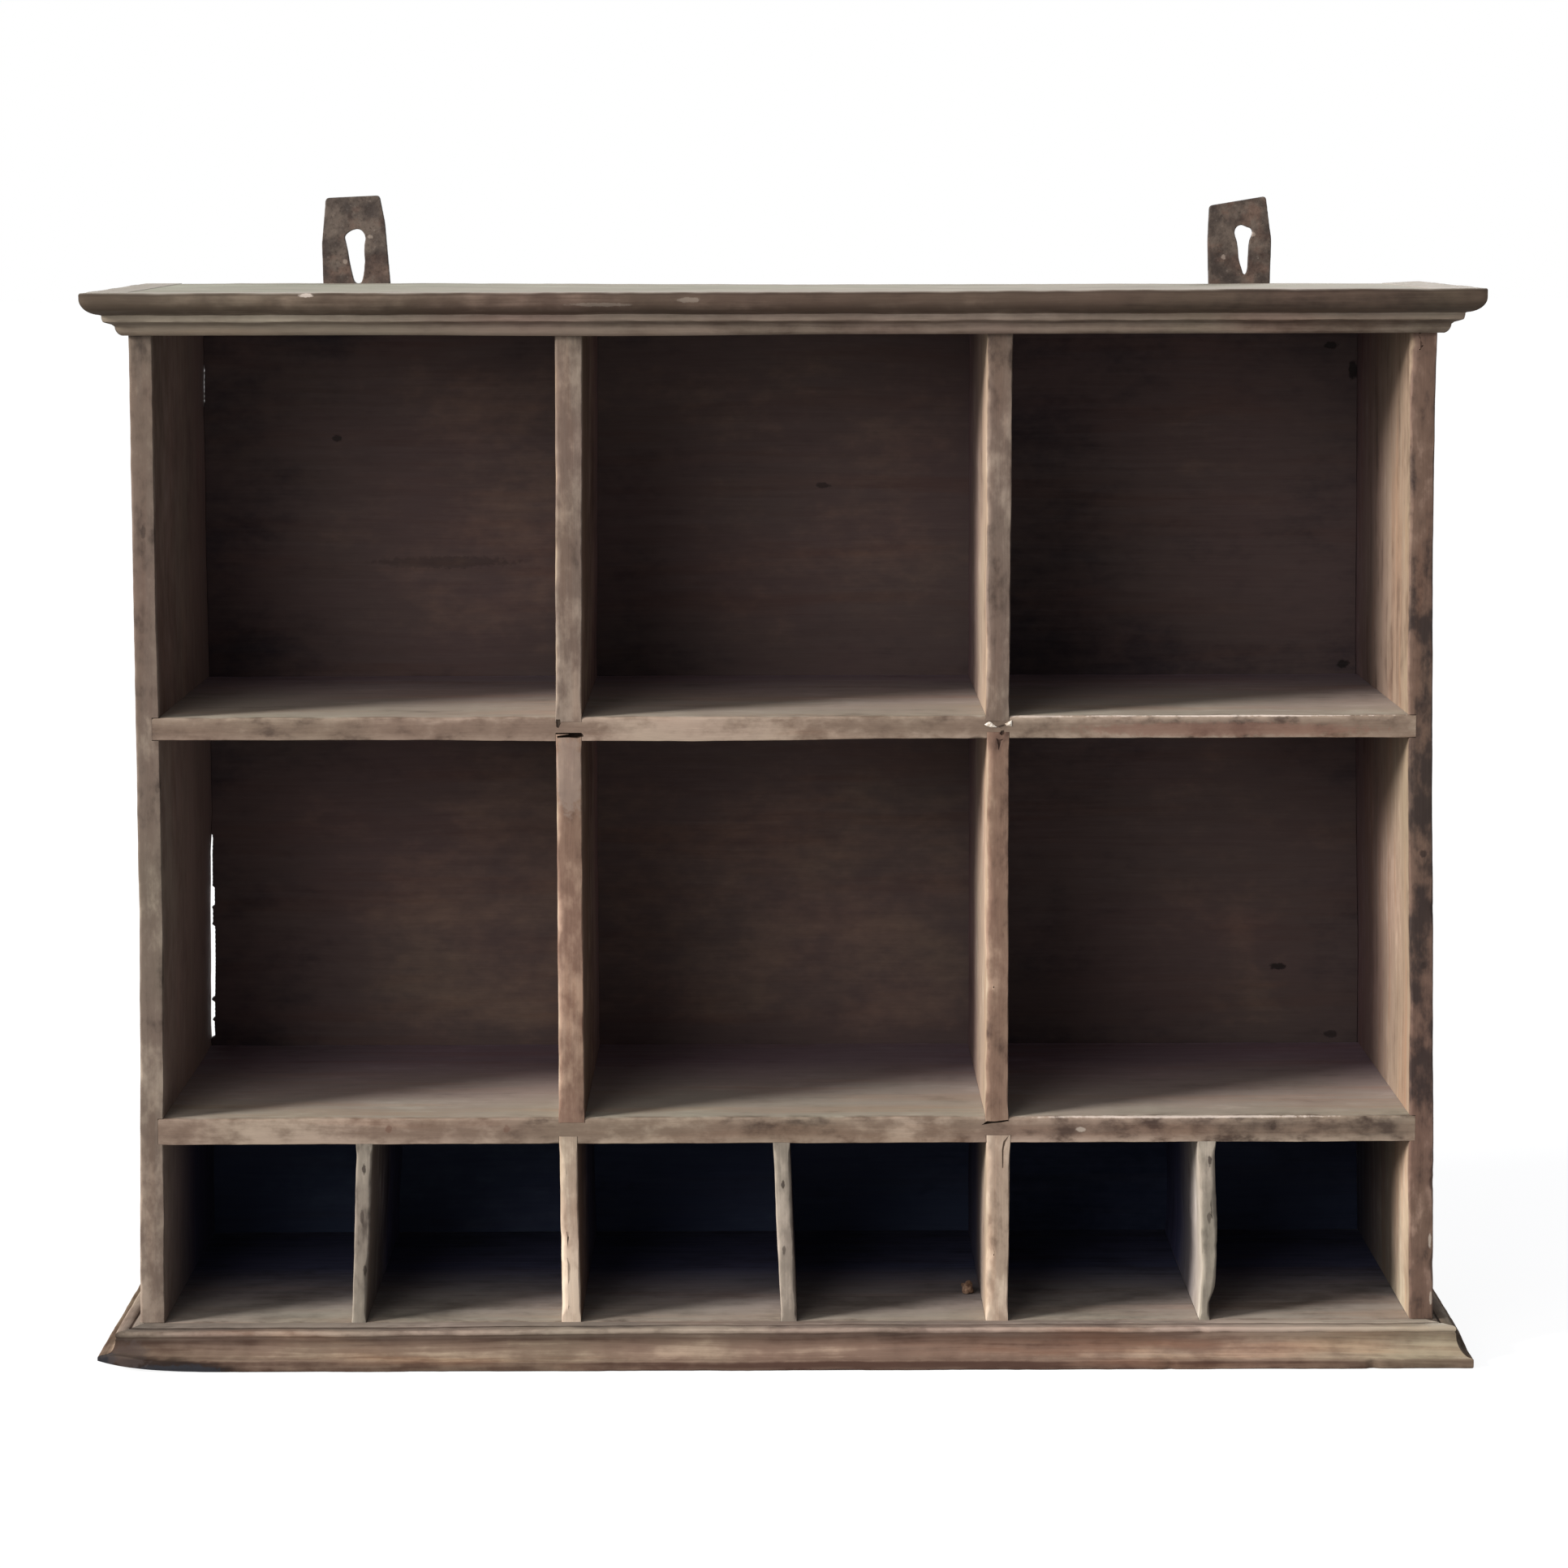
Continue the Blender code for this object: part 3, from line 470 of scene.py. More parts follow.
def ring_faces(rings, count):
    """Faces of a closed tube of rings, with both ends closed."""
    faces = []
    for ring in range(rings - 1):
        start = ring * count
        for i in range(count):
            j = (i + 1) % count
            faces.append((start + i, start + j, start + count + j, start + count + i))
    faces.append(tuple(reversed(range(count))))
    faces.append(tuple(range((rings - 1) * count, rings * count)))
    return faces


def side_steps(length):
    """Places of the points along one side of a board's section, from its corner."""
    if length < 40 * MM:
        return [length * 0.36, length * 0.64]
    edge = [6.5 * MM, 11 * MM, 18 * MM]
    count = max(1, int((length - 2 * edge[-1]) / (20 * MM)))
    inner = list(np.linspace(edge[-1], length - edge[-1], count + 1)[1:-1])
    return edge + inner + [length - e for e in reversed(edge)]


def plank_points(low, high, grain, arrises, seed, waviness, chips, places, fade):
    """Rings of points round a worn board. arrises gives a radius for each of its four
    corners: for grain x front bottom, rear bottom, rear top, front top; for grain z
    left front, right front, right rear, left rear. chips are (corner, place, half
    length, depth) in metres along the grain."""
    along, first, second = {"x": (0, 1, 2), "z": (2, 0, 1)}[grain]
    length = high[along] - low[along]
    if places is None:
        places = np.linspace(low[along], high[along], max(8, int(length / RING_SPACING)))
    from_end = np.minimum(places - low[along], high[along] - places)
    whole = 1 - (0.85 * near(from_end, 0.3 * fade, fade) if fade else 0.0)
    radii = []
    for corner in range(4):
        spread = 1 + 0.42 * wander(places, 75 * MM, seed + corner)
        radius = arrises[corner] * np.clip(spread, 0.25, 2.0) * whole
        for which, centre, half, depth in chips:
            if which == corner:
                ragged = 1 + 0.35 * wander(places, 9 * MM, seed + 31)
                radius = radius + depth * bump(places, centre, half) * ragged
        radii.append(radius)
    hollow = [waviness * whole * (0.5 + 0.5 * np.clip(wander(places, 110 * MM, seed + 10 + k), -1, 1))
              for k in range(4)]
    a0, a1 = low[first] + hollow[3], high[first] - hollow[1]
    b0, b1 = low[second] + hollow[0], high[second] - hollow[2]
    corners = [(a0, b0, 1, 1), (a1, b0, -1, 1), (a1, b1, -1, -1), (a0, b1, 1, -1)]
    limit = 0.48 * min(high[first] - low[first], high[second] - low[second])
    columns = []
    for corner, (a, b, sign_a, sign_b) in enumerate(corners):
        radius = np.minimum(radii[corner], limit)
        for step in range(ARRIS_STEPS + 1):
            angle = math.radians(180 + 90 * corner + 90 * step / ARRIS_STEPS)
            columns.append((a + radius * (sign_a + math.cos(angle)),
                            b + radius * (sign_b + math.sin(angle))))
        across = (first, second)[corner % 2]
        for step in side_steps(high[across] - low[across]):
            columns.append(((low[first] + step, b0), (a1, low[second] + step),
                            (high[first] - step, b1), (a0, high[second] - step))[corner])
    points = np.zeros((len(places), len(columns), 3))
    points[:, :, along] = places[:, None]
    for i, (a, b) in enumerate(columns):
        points[:, i, first] = a
        points[:, i, second] = b
    return points


def add_box(shape, low, high):
    low, high = Vector(low), Vector(high)
    place = Matrix.Translation((low + high) / 2) @ Matrix.Diagonal((*(high - low), 1.0))
    bmesh.ops.create_cube(shape, size=1.0, matrix=place)


def shrunk(outline, size):
    """An outline drawn in towards its own middle."""
    middle = np.mean(outline, axis=0)
    return [tuple(middle + (np.array(p) - middle) * size) for p in outline]


def add_pit(shape, outline, depth):
    """A hollow that sinks into the front. The outline is (x, z) and all is in millimetres."""
    rings = []
    for y, size in ((-6.0, 1.0), (0.4 * depth, 1.0), (depth, 0.6)):
        rings.append([shape.verts.new((x * MM, FRONT + y * MM, z * MM))
                      for x, z in shrunk(outline, size)])
    for outer, inner in zip(rings, rings[1:]):
        for i in range(len(outline)):
            j = (i + 1) % len(outline)
            shape.faces.new((outer[i], outer[j], inner[j], inner[i]))
    shape.faces.new(list(reversed(rings[0])))
    shape.faces.new(rings[-1])


def cut_away(piece, boxes, pits=()):
    """Cut boxes, each a lowest and a highest corner, and pits out of a piece."""
    if not boxes and not pits:
        return
    shape = bmesh.new()
    for low, high in boxes:
        add_box(shape, low, high)
    for outline, depth in pits:
        add_pit(shape, outline, depth)
    bmesh.ops.recalc_face_normals(shape, faces=shape.faces)
    mesh = bpy.data.meshes.new("cutter")
    shape.to_mesh(mesh)
    shape.free()
    cutter = new_object("cutter", mesh)
    cut = piece.modifiers.new("cut", "BOOLEAN")
    cut.operation = "DIFFERENCE"
    cut.solver = "EXACT"
    cut.use_self = True
    cut.object = cutter
    piece.data = applied(piece)
    piece.modifiers.clear()
    bpy.data.objects.remove(cutter, do_unlink=True)


def upright_faces(low, high, left, right):
    """A reshape that gives an upright board its left and right faces, each a list of
    (height, x) in millimetres."""
    left_at, right_at = profile(left), profile(right)

    def shape(points):
        share = (points[:, 0] - low[0]) / (high[0] - low[0])
        start = left_at(points[:, 2])
        points[:, 0] = start + share * (right_at(points[:, 2]) - start)
        return points
    return shape


def sunk_into(spots, pits):
    """How much grime and painted shade darken the points inside pits, most in the deep ones."""
    sunk = np.zeros(len(spots))
    for outline, depth in pits:
        amount = min(1.0, depth / 3)
        inside = spots[:, 1] < FRONT + 6 * MM
        for axis, reach in ((0, [p[0] for p in outline]), (2, [p[1] for p in outline])):
            inside &= spots[:, axis] > (min(reach) - 0.4) * MM
            inside &= spots[:, axis] < (max(reach) + 0.4) * MM
        behind = 1 - near(spots[:, 1] - FRONT, 0.2 * MM, 0.3 * depth * MM)
        sunk = np.maximum(sunk, amount * inside * behind)
    return sunk


def turned_away(spots, middle):
    """How much darker the right face of an upright board, turned from the sun, is painted than
    its sunlit left one: painted shade, most near the front."""
    inside = np.abs(spots[:, 0]) < INSIDE_X
    return -TURNED_AWAY * (spots[:, 0] > middle) * inside * (1 - depth_of(spots))


def plank(name, node, grain, material, arrises, seed, waviness=0.25 * MM, chips=(),
          cuts=(), pits=(), reshape=None, worn=None, tone=None, tint=None, dust=None,
          deep=lambda spots: 1.0, rub_and_highlight=lambda spots: 1.0, box=None, places=None, fade=0.0):
    """A worn board in the place of a CAD node. These are functions of its points: worn, for
    the front edge only, tone, tint, dust, how much painted shade lies deep inside, and how
    much the arrises are rubbed paler, on the shelves partly a painted highlight where the sun catches
    them."""
    low, high = [np.array(c) for c in (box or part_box(node))]
    radii = [a * MM for a in arrises]
    chips = [(c[0], c[1] * MM, c[2] * MM, c[3] * MM) for c in chips]
    rings = plank_points(low, high, grain, radii, seed, waviness, chips, places, fade)
    count = rings.shape[1]
    points = rings.reshape(-1, 3)
    if reshape:
        points = reshape(points.copy())
    piece = make_piece(name, points, ring_faces(len(rings), count), material, (node,))
    cut_away(piece, cuts, pits)
    spots = points_of(piece)
    first, second = {"x": (1, 2), "z": (0, 1)}[grain]
    lowest, highest = points.min(axis=0), points.max(axis=0)
    gap_a = np.minimum(spots[:, first] - lowest[first], highest[first] - spots[:, first])
    gap_b = np.minimum(spots[:, second] - lowest[second], highest[second] - spots[:, second])
    corner = np.maximum(np.maximum(gap_a, gap_b), 0.0)
    front = near(spots[:, 1] - FRONT, *EDGE_FADE)
    if grain == "z":
        front = np.maximum(front, OUTER_SHARE * (np.abs(spots[:, 0]) > INSIDE_X))
    shade = (worn(spots) * front if worn else 0.0) + (tone(spots) if tone else 0.0)
    # An upright board without a given tone gets painted shade on its right face, turned from the sun.
    if grain == "z" and not tone:
        shade = shade + (1 - front) * turned_away(spots, (lowest[0] + highest[0]) / 2)
    paint(piece, arris=rub_and_highlight(spots) * np.exp(-corner / ARRIS_REACH), recess=sunk_into(spots, pits),
          front=front, worn=shade, tint=tint(spots) if tint else 0.0,
          dust=dust(spots) if dust else 0.0, deep=deep(spots) * depth_of(spots))
    crease(piece)
    return piece


def housing(node, high_z=None):
    """Box of the groove that a board's end is let into."""
    low, high = [list(c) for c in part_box(node)]
    for axis in range(3):
        low[axis] -= PLAY
        high[axis] += PLAY
    low[1] -= 5 * MM
    if high_z is not None:
        high[2] = high_z
    return low, high


def by_axis(axis, stations):
    """A function of the points that runs between stations, each a place in mm and a value."""
    places, values = np.array(sorted(stations)).T
    return lambda spots: np.interp(spots[:, axis] / MM, places, values)


def by_height(*stations):
    return by_axis(2, stations)


def by_width(*stations):
    return by_axis(0, stations)


# Finishes of the boards

EDGE_GREY = (rgb(53, 44, 39), rgb(93, 80, 72), rgb(130, 117, 106))
EDGE_BROWN = (rgb(41, 32, 29), rgb(88, 70, 60), rgb(129, 108, 96))
EDGE_RUDDY = (rgb(59, 43, 37), rgb(105, 83, 71), rgb(144, 122, 106))
EDGE_PALE = (rgb(60, 48, 42), rgb(103, 87, 76), rgb(146, 130, 117))
EDGE_BRIGHT = (rgb(92, 76, 66), rgb(141, 124, 110), rgb(182, 166, 150))
FACE_BROWN = (rgb(76, 60, 49), rgb(132, 116, 98), rgb(173, 158, 137))
FACE_WARM = (rgb(84, 67, 56), rgb(146, 129, 112), rgb(190, 175, 156))
FACE_MAUVE = (rgb(78, 63, 57), rgb(131, 116, 108), rgb(172, 159, 150))
FACE_DUSTY = (rgb(98, 89, 79), rgb(150, 141, 129), rgb(182, 175, 163))
INK = rgb(36, 26, 22)
FLESH = rgb(176, 164, 150)
RUST = rgb(84, 52, 40)
SOOT = rgb(14, 11, 11)
SUNBURNT = rgb(112, 82, 70)
BLEACHED_AND_SUNLIT = rgb(208, 194, 182)


def spots_at(face, depth, *marks):
    """Marks on a face that looks along y: (x, z, half width, half height, colour, amount)."""
    return [((x, face / MM, z), (wide, depth, tall), stain, amount)
            for x, z, wide, tall, stain, amount in marks]


# The left side's mauve face colour is partly a painted shade, bluish like the shade on its inner face,
# which is turned from the sun.
side_left_wood = wood("left side wood", "z", EDGE_GREY, FACE_MAUVE, streaks=(0.15, 0.04),
                      blotches=(1.1, 0.3), fibres=0.08, redness=0.15, relief_depth=0.15,
                      marks=spots_at(FRONT, 3, (-414.9, 548.8, 2.2, 5, INK, 0.45)))
side_right_wood = wood(
    "right side wood", "z", EDGE_BROWN, FACE_BROWN, streaks=(0.2, 0.35), blotches=(1.3, 0.5),
    redness=0.4, marks=spots_at(
        FRONT, 3, (424.4, 78, 1.2, 6, FLESH, 0.55), (425.4, 39.7, 1.2, 6, FLESH, 0.6),
        (417, 336, 3, 3, INK, 0.8), (418, 262, 2.4, 3.2, INK, 0.7), (416, 432, 3, 4, INK, 0.5)))
divider_wood = wood("divider wood", "z", EDGE_GREY, FACE_WARM, redness=0.25)
ruddy_divider_wood = wood("ruddy divider wood", "z", EDGE_RUDDY, FACE_WARM, redness=0.4,
                          marks=spots_at(FRONT, 3, (-140, 390, 12, 32, rgb(132, 118, 108), 0.5)))
low_divider_wood = wood("low divider wood", "z", EDGE_BRIGHT, FACE_WARM, streaks=(0.4, 0.3),
                        redness=0.35)
# The pale strips along the shelves' tops and top arrises are painted sunlight, and the paler rubbing of
# their arrises is partly a painted highlight.
shelf_wood = wood(
    "shelf wood", "x", EDGE_PALE, FACE_DUSTY, streaks=(0.2, 0.2), blotches=(1.0, 0.5), rubbed=0.8,
    marks=spots_at(FRONT, 3, (-260.2, 154.7, 2.5, 3, RUST, 0.5), (-182.9, 154.5, 2.5, 3, RUST, 0.4),
                   (320.7, 155.1, 2.5, 3, INK, 0.5), (194.2, 153.3, 4, 2, FLESH, 0.5),
                   (285, 418, 115, 5.5, SUNBURNT, 0.5), (290, 427.2, 125, 1.1, BLEACHED_AND_SUNLIT, 0.8),
                   (165, 426.8, 26, 0.9, BLEACHED_AND_SUNLIT, 0.5), (262, 161.7, 115, 1.2, BLEACHED_AND_SUNLIT, 0.6)))
thin_wood = wood(
    "thin divider wood", "z", (rgb(61, 54, 49), rgb(117, 109, 100), rgb(157, 147, 136)),
    (rgb(86, 76, 70), rgb(153, 142, 132), rgb(193, 183, 174)), streaks=(0.4, 0.4),
    blotches=(1.0, 0.6), redness=0.0, marks=spots_at(
        FRONT, 3, (-276.8, 128, 1.6, 4, INK, 0.8), (-278.4, 96, 1.4, 5, INK, 0.6),
        (-276.6, 60, 1.6, 5, INK, 0.7), (-1.4, 117, 1.5, 4, INK, 0.8), (-0.9, 73, 1.4, 4, INK, 0.6),
        (279.1, 132, 1.6, 4, INK, 0.8), (279, 94, 1.6, 5, INK, 0.6)))
top_wood = wood("top board wood", "x", EDGE_GREY,
                (rgb(100, 95, 86), rgb(144, 138, 128), rgb(172, 166, 155)), streaks=(0.3, 0.4),
                redness=0.05)
OVOLO = (rgb(44, 34, 28), rgb(73, 60, 51), rgb(106, 91, 80))
BAND = (rgb(80, 65, 56), rgb(128, 113, 102), rgb(164, 149, 136))
CORNICE_LOOK = {"streaks": (0.4, 0.35), "blotches": (0.6, 0.5), "redness": 0.2, "drift": 0.8,
                "rubbed": 0.4}
cornice_wood = wood(
    "cornice wood", "x", OVOLO, BAND, **CORNICE_LOOK, marks=spots_at(
        FRONT - 26 * MM, 6, (-304, TOP_Z / MM - 1.5, 6, 1.6, BLEACHED_AND_SUNLIT, 0.6),
        (-118, TOP_Z / MM - 8, 24, 1.5, FLESH, 0.2), (-60, TOP_Z / MM - 5, 9, 2, FLESH, 0.2)))
cornice_return_wood = wood("cornice return wood", "y", OVOLO, BAND, **CORNICE_LOOK)
COVE = (rgb(67, 49, 40), rgb(105, 88, 76), rgb(147, 131, 114))
FILLET = (rgb(66, 55, 48), rgb(106, 93, 84), rgb(152, 138, 126))
BASE_LOOK = {"streaks": (0.8, 0.6), "blotches": (0.6, 0.6), "redness": 0.5, "drift": 0.8,
             "rubbed": 0.8}
ROT = rgb(32, 33, 38)
base_wood = wood(
    "base moulding wood", "x", COVE, FILLET, **BASE_LOOK, marks=spots_at(
        FRONT - 26 * MM, 22, (-402, 1.5, 40, 4.6, ROT, 0.9), (-444, 8, 9, 6, ROT, 0.85),
        (-430, 11, 17, 10, rgb(70, 60, 56), 0.55)))
base_return_wood = wood("base return wood", "y", COVE, FILLET, gloss=0.02, **BASE_LOOK)
BACK_COLORS = (rgb(43, 38, 44), rgb(82, 68, 67), rgb(113, 93, 83))
# The panel's lowest row is darkened blue-black by its gloom, a painted shade.
back_wood = wood(
    "back panel wood", "x", BACK_COLORS, BACK_COLORS, streaks=(0.05, 0.05), blotches=(0.45, 0.45),
    fibres=0.15, redness=0.25, drift=0.5, rubbed=0.0, relief_depth=0.1, low_gloom=BACK_GLOOM,
    marks=spots_at(
        BACK_FACE, 8, (-314, 596, 4, 3, SOOT, 0.7), (29, 562, 6, 2.4, SOOT, 0.6),
        (353, 217, 7, 3, SOOT, 0.8), (386, 660, 6, 3, SOOT, 0.8), (402, 642, 4, 9, SOOT, 0.8),
        (397, 434, 5, 4, SOOT, 0.8), (-240, 508, 56, 5, SOOT, 0.3), (391, 168, 6, 3, SOOT, 0.6)))


# Boards

shelf_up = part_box("shelf_upper")
HEAD_HOUSING = 4.5 * MM

# Faces of the sides, (height, distance from the middle): they lean out towards the foot.
LEFT_INNER = ((69, 408.9), (107, 408.2), (145, 408.2), (221, 407.0), (296, 406.2), (371, 406.2),
              (520, 407.4), (667, 407.1))
LEFT_OUTER = ((25, 425.65), (69, 424.95), (145, 423.7), (221, 422.45), (300, 421.75),
              (500, 422.15), (676, 422.5))
RIGHT_INNER = ((39, 411.7), (61, 410.9), (94, 410.5), (126, 410.0), (224, 410.0), (278, 408.8),
               (331, 407.6), (385, 407.0), (444, 405.8), (550, 405.6), (655, 404.8))
RIGHT_OUTER = ((25, 427.5), (67, 427.1), (143, 426.2), (218, 425.2), (294, 424.2), (369, 422.8),
               (444, 421.9), (555, 421.1), (628, 421.2), (676, 422.4))

# Light shows between the left side and the back panel: (height, width seen) in mm, the
# width that the panel's thickness hides, and how far the side bows out there.
GAP_SEEN = ((314, 0), (311, 0.5), (300, 0.7), (279, 0.8), (277.5, 0.5), (276, 2.2), (263, 2.2),
            (261.8, 0.1), (260.5, 0.9), (251, 0.9), (249.5, 0.2), (248, 2.4), (222, 2.6),
            (197, 2.3), (195.8, 0.1), (194.6, 0.1), (193.4, 2.3), (182, 2.3), (180.6, 0.2),
            (179.4, 2.0), (169, 2.0), (167, 0), (614, 0), (614.1, -1.2), (616, -1.1), (622, -0.4),
            (645, -0.35), (649, -1.1), (649.9, -1.2), (650, 0))
GAP_HIDDEN = 1.1
SIDE_BOW = ((150, 0), (175, 2.0), (300, 2.0), (330, 0), (592, 0), (612, 0.6), (637, 0.6), (657, 0))
bow_at = profile(SIDE_BOW)


def side_box(sign):
    low, high = [np.array(c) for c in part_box("side_right")]
    low[0], high[0] = sorted((sign * INNER_X, sign * BODY_X))
    return low, high


def bowed_left_side(points):
    """The left side, hollowed at the rear of its inner face."""
    shape = upright_faces(*side_box(-1), [(z, -x) for z, x in LEFT_OUTER],
                          [(z, -x) for z, x in LEFT_INNER])
    rear = 1 - near(points[:, 1], REAR - 45 * MM, REAR - 12 * MM)
    inner = points[:, 0] > -(INNER_X + 3 * MM)
    moved = shape(points)
    moved[:, 0] -= bow_at(points[:, 2]) * rear * inner
    return moved


def inner_tone(*stations):
    """Tone of a side's inner face by height, nought at the back panel."""
    at_height = by_height(*stations)

    def tone(spots):
        inside = (np.abs(spots[:, 0]) < INSIDE_X) & (spots[:, 1] > FRONT + 2 * MM)
        return at_height(spots) * inside * (1 - depth_of(spots))
    return tone


ledges = [housing("shelf_upper"), housing("shelf_lower")]
# The left side's inner face, turned from the sun, gets painted shade by height, and deep inside the
# lowest row more painted shade.
plank("worn_side_left", "side_left", "z", side_left_wood, (1.6, 0.6, 0.8, 0.8),
      11, cuts=ledges, box=side_box(-1), reshape=bowed_left_side,
      worn=by_height((26, 0.12), (140, 0.12), (250, 0.02), (400, 0.0), (560, 0.03), (650, -0.05),
                     (688, -0.12)),
      deep=by_height((146, 1.6), (162, 0.5)),
      tone=inner_tone((146, -0.2), (162, -0.28), (412, -0.28), (430, -0.38)))
plank("worn_side_right", "side_right", "z", side_right_wood,
      (1.4, 1.0, 0.8, 0.8), 23, cuts=ledges, box=side_box(1),
      reshape=upright_faces(*side_box(1), RIGHT_INNER, RIGHT_OUTER),
      chips=((1, 118, 16, 2.0), (1, 62, 12, 2.4), (1, 300, 20, 1.2), (0, 560, 26, 1.2),
             (0, 690, 60, 5.0)),
      worn=by_height((26, 0.2), (75, 0.12), (120, -0.1), (180, -0.3), (320, -0.28), (450, -0.2),
                     (530, -0.12), (600, 0.05), (640, -0.05), (688, -0.1)),
      tint=by_height((26, 0.2), (200, -0.7), (400, -0.2), (688, -0.4)),
      tone=inner_tone((146, 0.2), (162, 0.0), (412, 0.0), (430, -0.17)))

# The crossings of shelves and dividers: pits in the front, each an outline and a depth.
LEFT_CROSSING = (
    (((-148.5, 425.6), (-145.8, 425.6), (-145.0, 422.6), (-146.9, 419.9), (-148.3, 420.8)), 1.8),
    (((-147.9, 414.7), (-142.1, 415.6), (-137.8, 416.1), (-131.1, 416.1), (-130.4, 414.2),
      (-134.6, 413.1), (-140.0, 413.6), (-147.6, 413.5)), 6.0))
RIGHT_CROSSING = (
    (((140.0, 415.4), (141.1, 417.5), (143.0, 417.8), (144.0, 415.1), (141.6, 414.3)), 1.3),
    (((137.9, 412.6), (139.8, 411.6), (142.4, 412.0), (141.2, 408.4), (139.5, 404.5),
      (139.1, 408.4)), 1.0),
    (((138.6, 420.2), (143.2, 421.6), (144.6, 420.4), (141.0, 418.8)), 0.7))
LOWER_CROSSING = (
    (((129.0, 156.5), (132.5, 159.1), (137.8, 158.9), (145.9, 159.9), (147.6, 159.2),
      (141.8, 158.0), (136.1, 157.5)), 3.0),
    (((147.2, 149.8), (143.3, 145.4), (142.4, 140.0), (142.6, 127.6), (143.4, 127.6),
      (143.5, 140.0), (144.6, 144.6)), 1.2))

# Thick dividers: left and right faces, each (height, x), front arrises, seed, finish, wear.
THICK = {
    "top_left": (((688, -147.4), (427, -148.9)), ((688, -129.6), (560, -130.4), (427, -131.8)),
                 (2.7, 0.8), 71, divider_wood,
                 by_height((427, 0.02), (520, -0.02), (560, 0.12), (600, 0.06), (688, 0.0))),
    "top_right": (((688, 131.4), (427, 131.2)), ((688, 148.3), (520, 147.2), (427, 146.4)),
                  (2.6, 0.8), 83, divider_wood,
                  by_height((427, 0.06), (520, -0.05), (620, 0.0), (688, -0.06))),
    "middle_left": (((412, -148.65), (162, -148.65)), ((412, -131.9), (162, -131.6)),
                    (2.6, 0.8), 97, ruddy_divider_wood,
                    by_height((162, 0.16), (240, 0.12), (330, 0.02), (412, 0.02))),
    "middle_right": (((412, 132.0), (162, 131.5)), ((412, 146.4), (162, 146.6)),
                     (3.0, 0.8), 103, ruddy_divider_wood,
                     by_height((162, -0.06), (250, -0.08), (330, -0.08), (412, 0.0))),
    "bottom_left": (((146, -148.4), (25, -147.5)), ((146, -136.6), (25, -134.8)),
                    (4.0, 1.0), 113, low_divider_wood, by_height((25, 0.12), (146, 0.12))),
    "bottom_right": (((150, 132.05), (25, 132.05)), ((150, 148.0), (25, 146.8)),
                     (4.4, 0.9), 127, low_divider_wood, None),
}
THICK_PITS = {"top_left": LEFT_CROSSING, "middle_left": LEFT_CROSSING, "top_right": RIGHT_CROSSING,
              "middle_right": RIGHT_CROSSING + LOWER_CROSSING[:1],
              "bottom_right": LOWER_CROSSING[1:]}
THICK_CHIPS = {"top_right": ((0, 600, 14, 1.2),), "middle_right": ((0, 250, 10, 1.6),)}

# Thin dividers: left and right faces, seed, front arrises and chips.
THIN = {
    "left": (((139, -281.8), (25, -286.1)), ((139, -270.7), (25, -276.3)), 131, (1.6, 2.2),
             ((1, 60, 12, 1.6),)),
    "centre": (((139, -7.9), (25, -3.3)), ((139, 3.2), (25, 7.8)), 149, (2.0, 2.4), ()),
    "right": (((139, 271.0), (94, 273.5), (60, 274.5), (40, 273.8), (25, 272.8)),
              ((139, 283.2), (94, 284.6), (48, 284.0), (42, 282.0), (37, 279.8), (25, 280.3)),
              163, (2.2, 2.2), ((1, 100, 20, 1.6),)),
}
UPRIGHTS = {"divider_" + key: row[:2] for key, row in THICK.items()}
UPRIGHTS.update({"thin_divider_" + key: row[:2] for key, row in THIN.items()})


def groove(node, height, high_z=None):
    """The housing of a divider's end, as wide as the divider is at a height in mm."""
    low, high = housing(node, high_z)
    left, right = [float(profile(face)(height * MM)) for face in UPRIGHTS[node]]
    low[0], high[0] = left - PLAY, right + PLAY
    return low, high


def panel_rebate(height):
    """The rebate for the back panel's end, as wide as the panel is at a height in mm."""
    low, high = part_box("back_panel")
    left, right = [float(profile(face)(height * MM)) for face in (LEFT_INNER, RIGHT_INNER)]
    return ((-left - PLAY, low.y - PLAY, low.z - PLAY), (right + PLAY, REAR + 5 * MM, high.z + PLAY))


underside = profile(((-411, 412.3), (-240, 412.1), (-165, 411.3), (-60, 410.9), (0, 411.3),
                     (70, 412.3), (411, 412.3)))


def sagging_shelf(points):
    """The upper shelf, a little low under its middle."""
    low, high = shelf_up[0].z, shelf_up[1].z
    share = (high - points[:, 2]) / (high - low)
    points[:, 2] -= (low - underside(points[:, 0])) * share
    return points


def deeper_shelf(points):
    """The lower shelf's underside hangs a little low."""
    low, high = [corner.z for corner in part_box("shelf_lower")]
    points[:, 2] -= 0.8 * MM * (high - points[:, 2]) / (high - low)
    return points


def dust_on_top(level, amount):
    """Dust on what faces up at a level, thinner towards the back."""
    def spread(spots):
        return amount * (1 - run_back(spots)) * near(level - spots[:, 2], 0.3 * MM, 1.2 * MM)
    return spread


# Right of the dividers the shelves' top arrises are rubbed paler as a painted highlight where the sun
# catches them; deep inside, the lower shelf gets more painted shade.
plank("worn_shelf_upper", "shelf_upper", "x", shelf_wood, (0.6, 0.6, 0.6, 1.8), 37,
      cuts=[groove("divider_top_left", 427), groove("divider_top_right", 427),
            groove("divider_middle_left", 412, shelf_up[0].z + HEAD_HOUSING),
            groove("divider_middle_right", 412)],
      pits=LEFT_CROSSING + RIGHT_CROSSING, reshape=sagging_shelf,
      chips=((0, 126, 5, 2.4), (3, -158, 14, 1.6), (3, 127, 6, 2.0)),
      rub_and_highlight=by_width((-411, 1.0), (140, 1.0), (150, 2.2), (300, 1.8), (411, 1.2)),
      worn=by_width((-411, -0.02), (-300, 0.0), (-160, 0.0), (-120, 0.27), (120, 0.2),
                    (150, -0.2), (260, -0.14), (400, -0.18), (411, 0.1)))
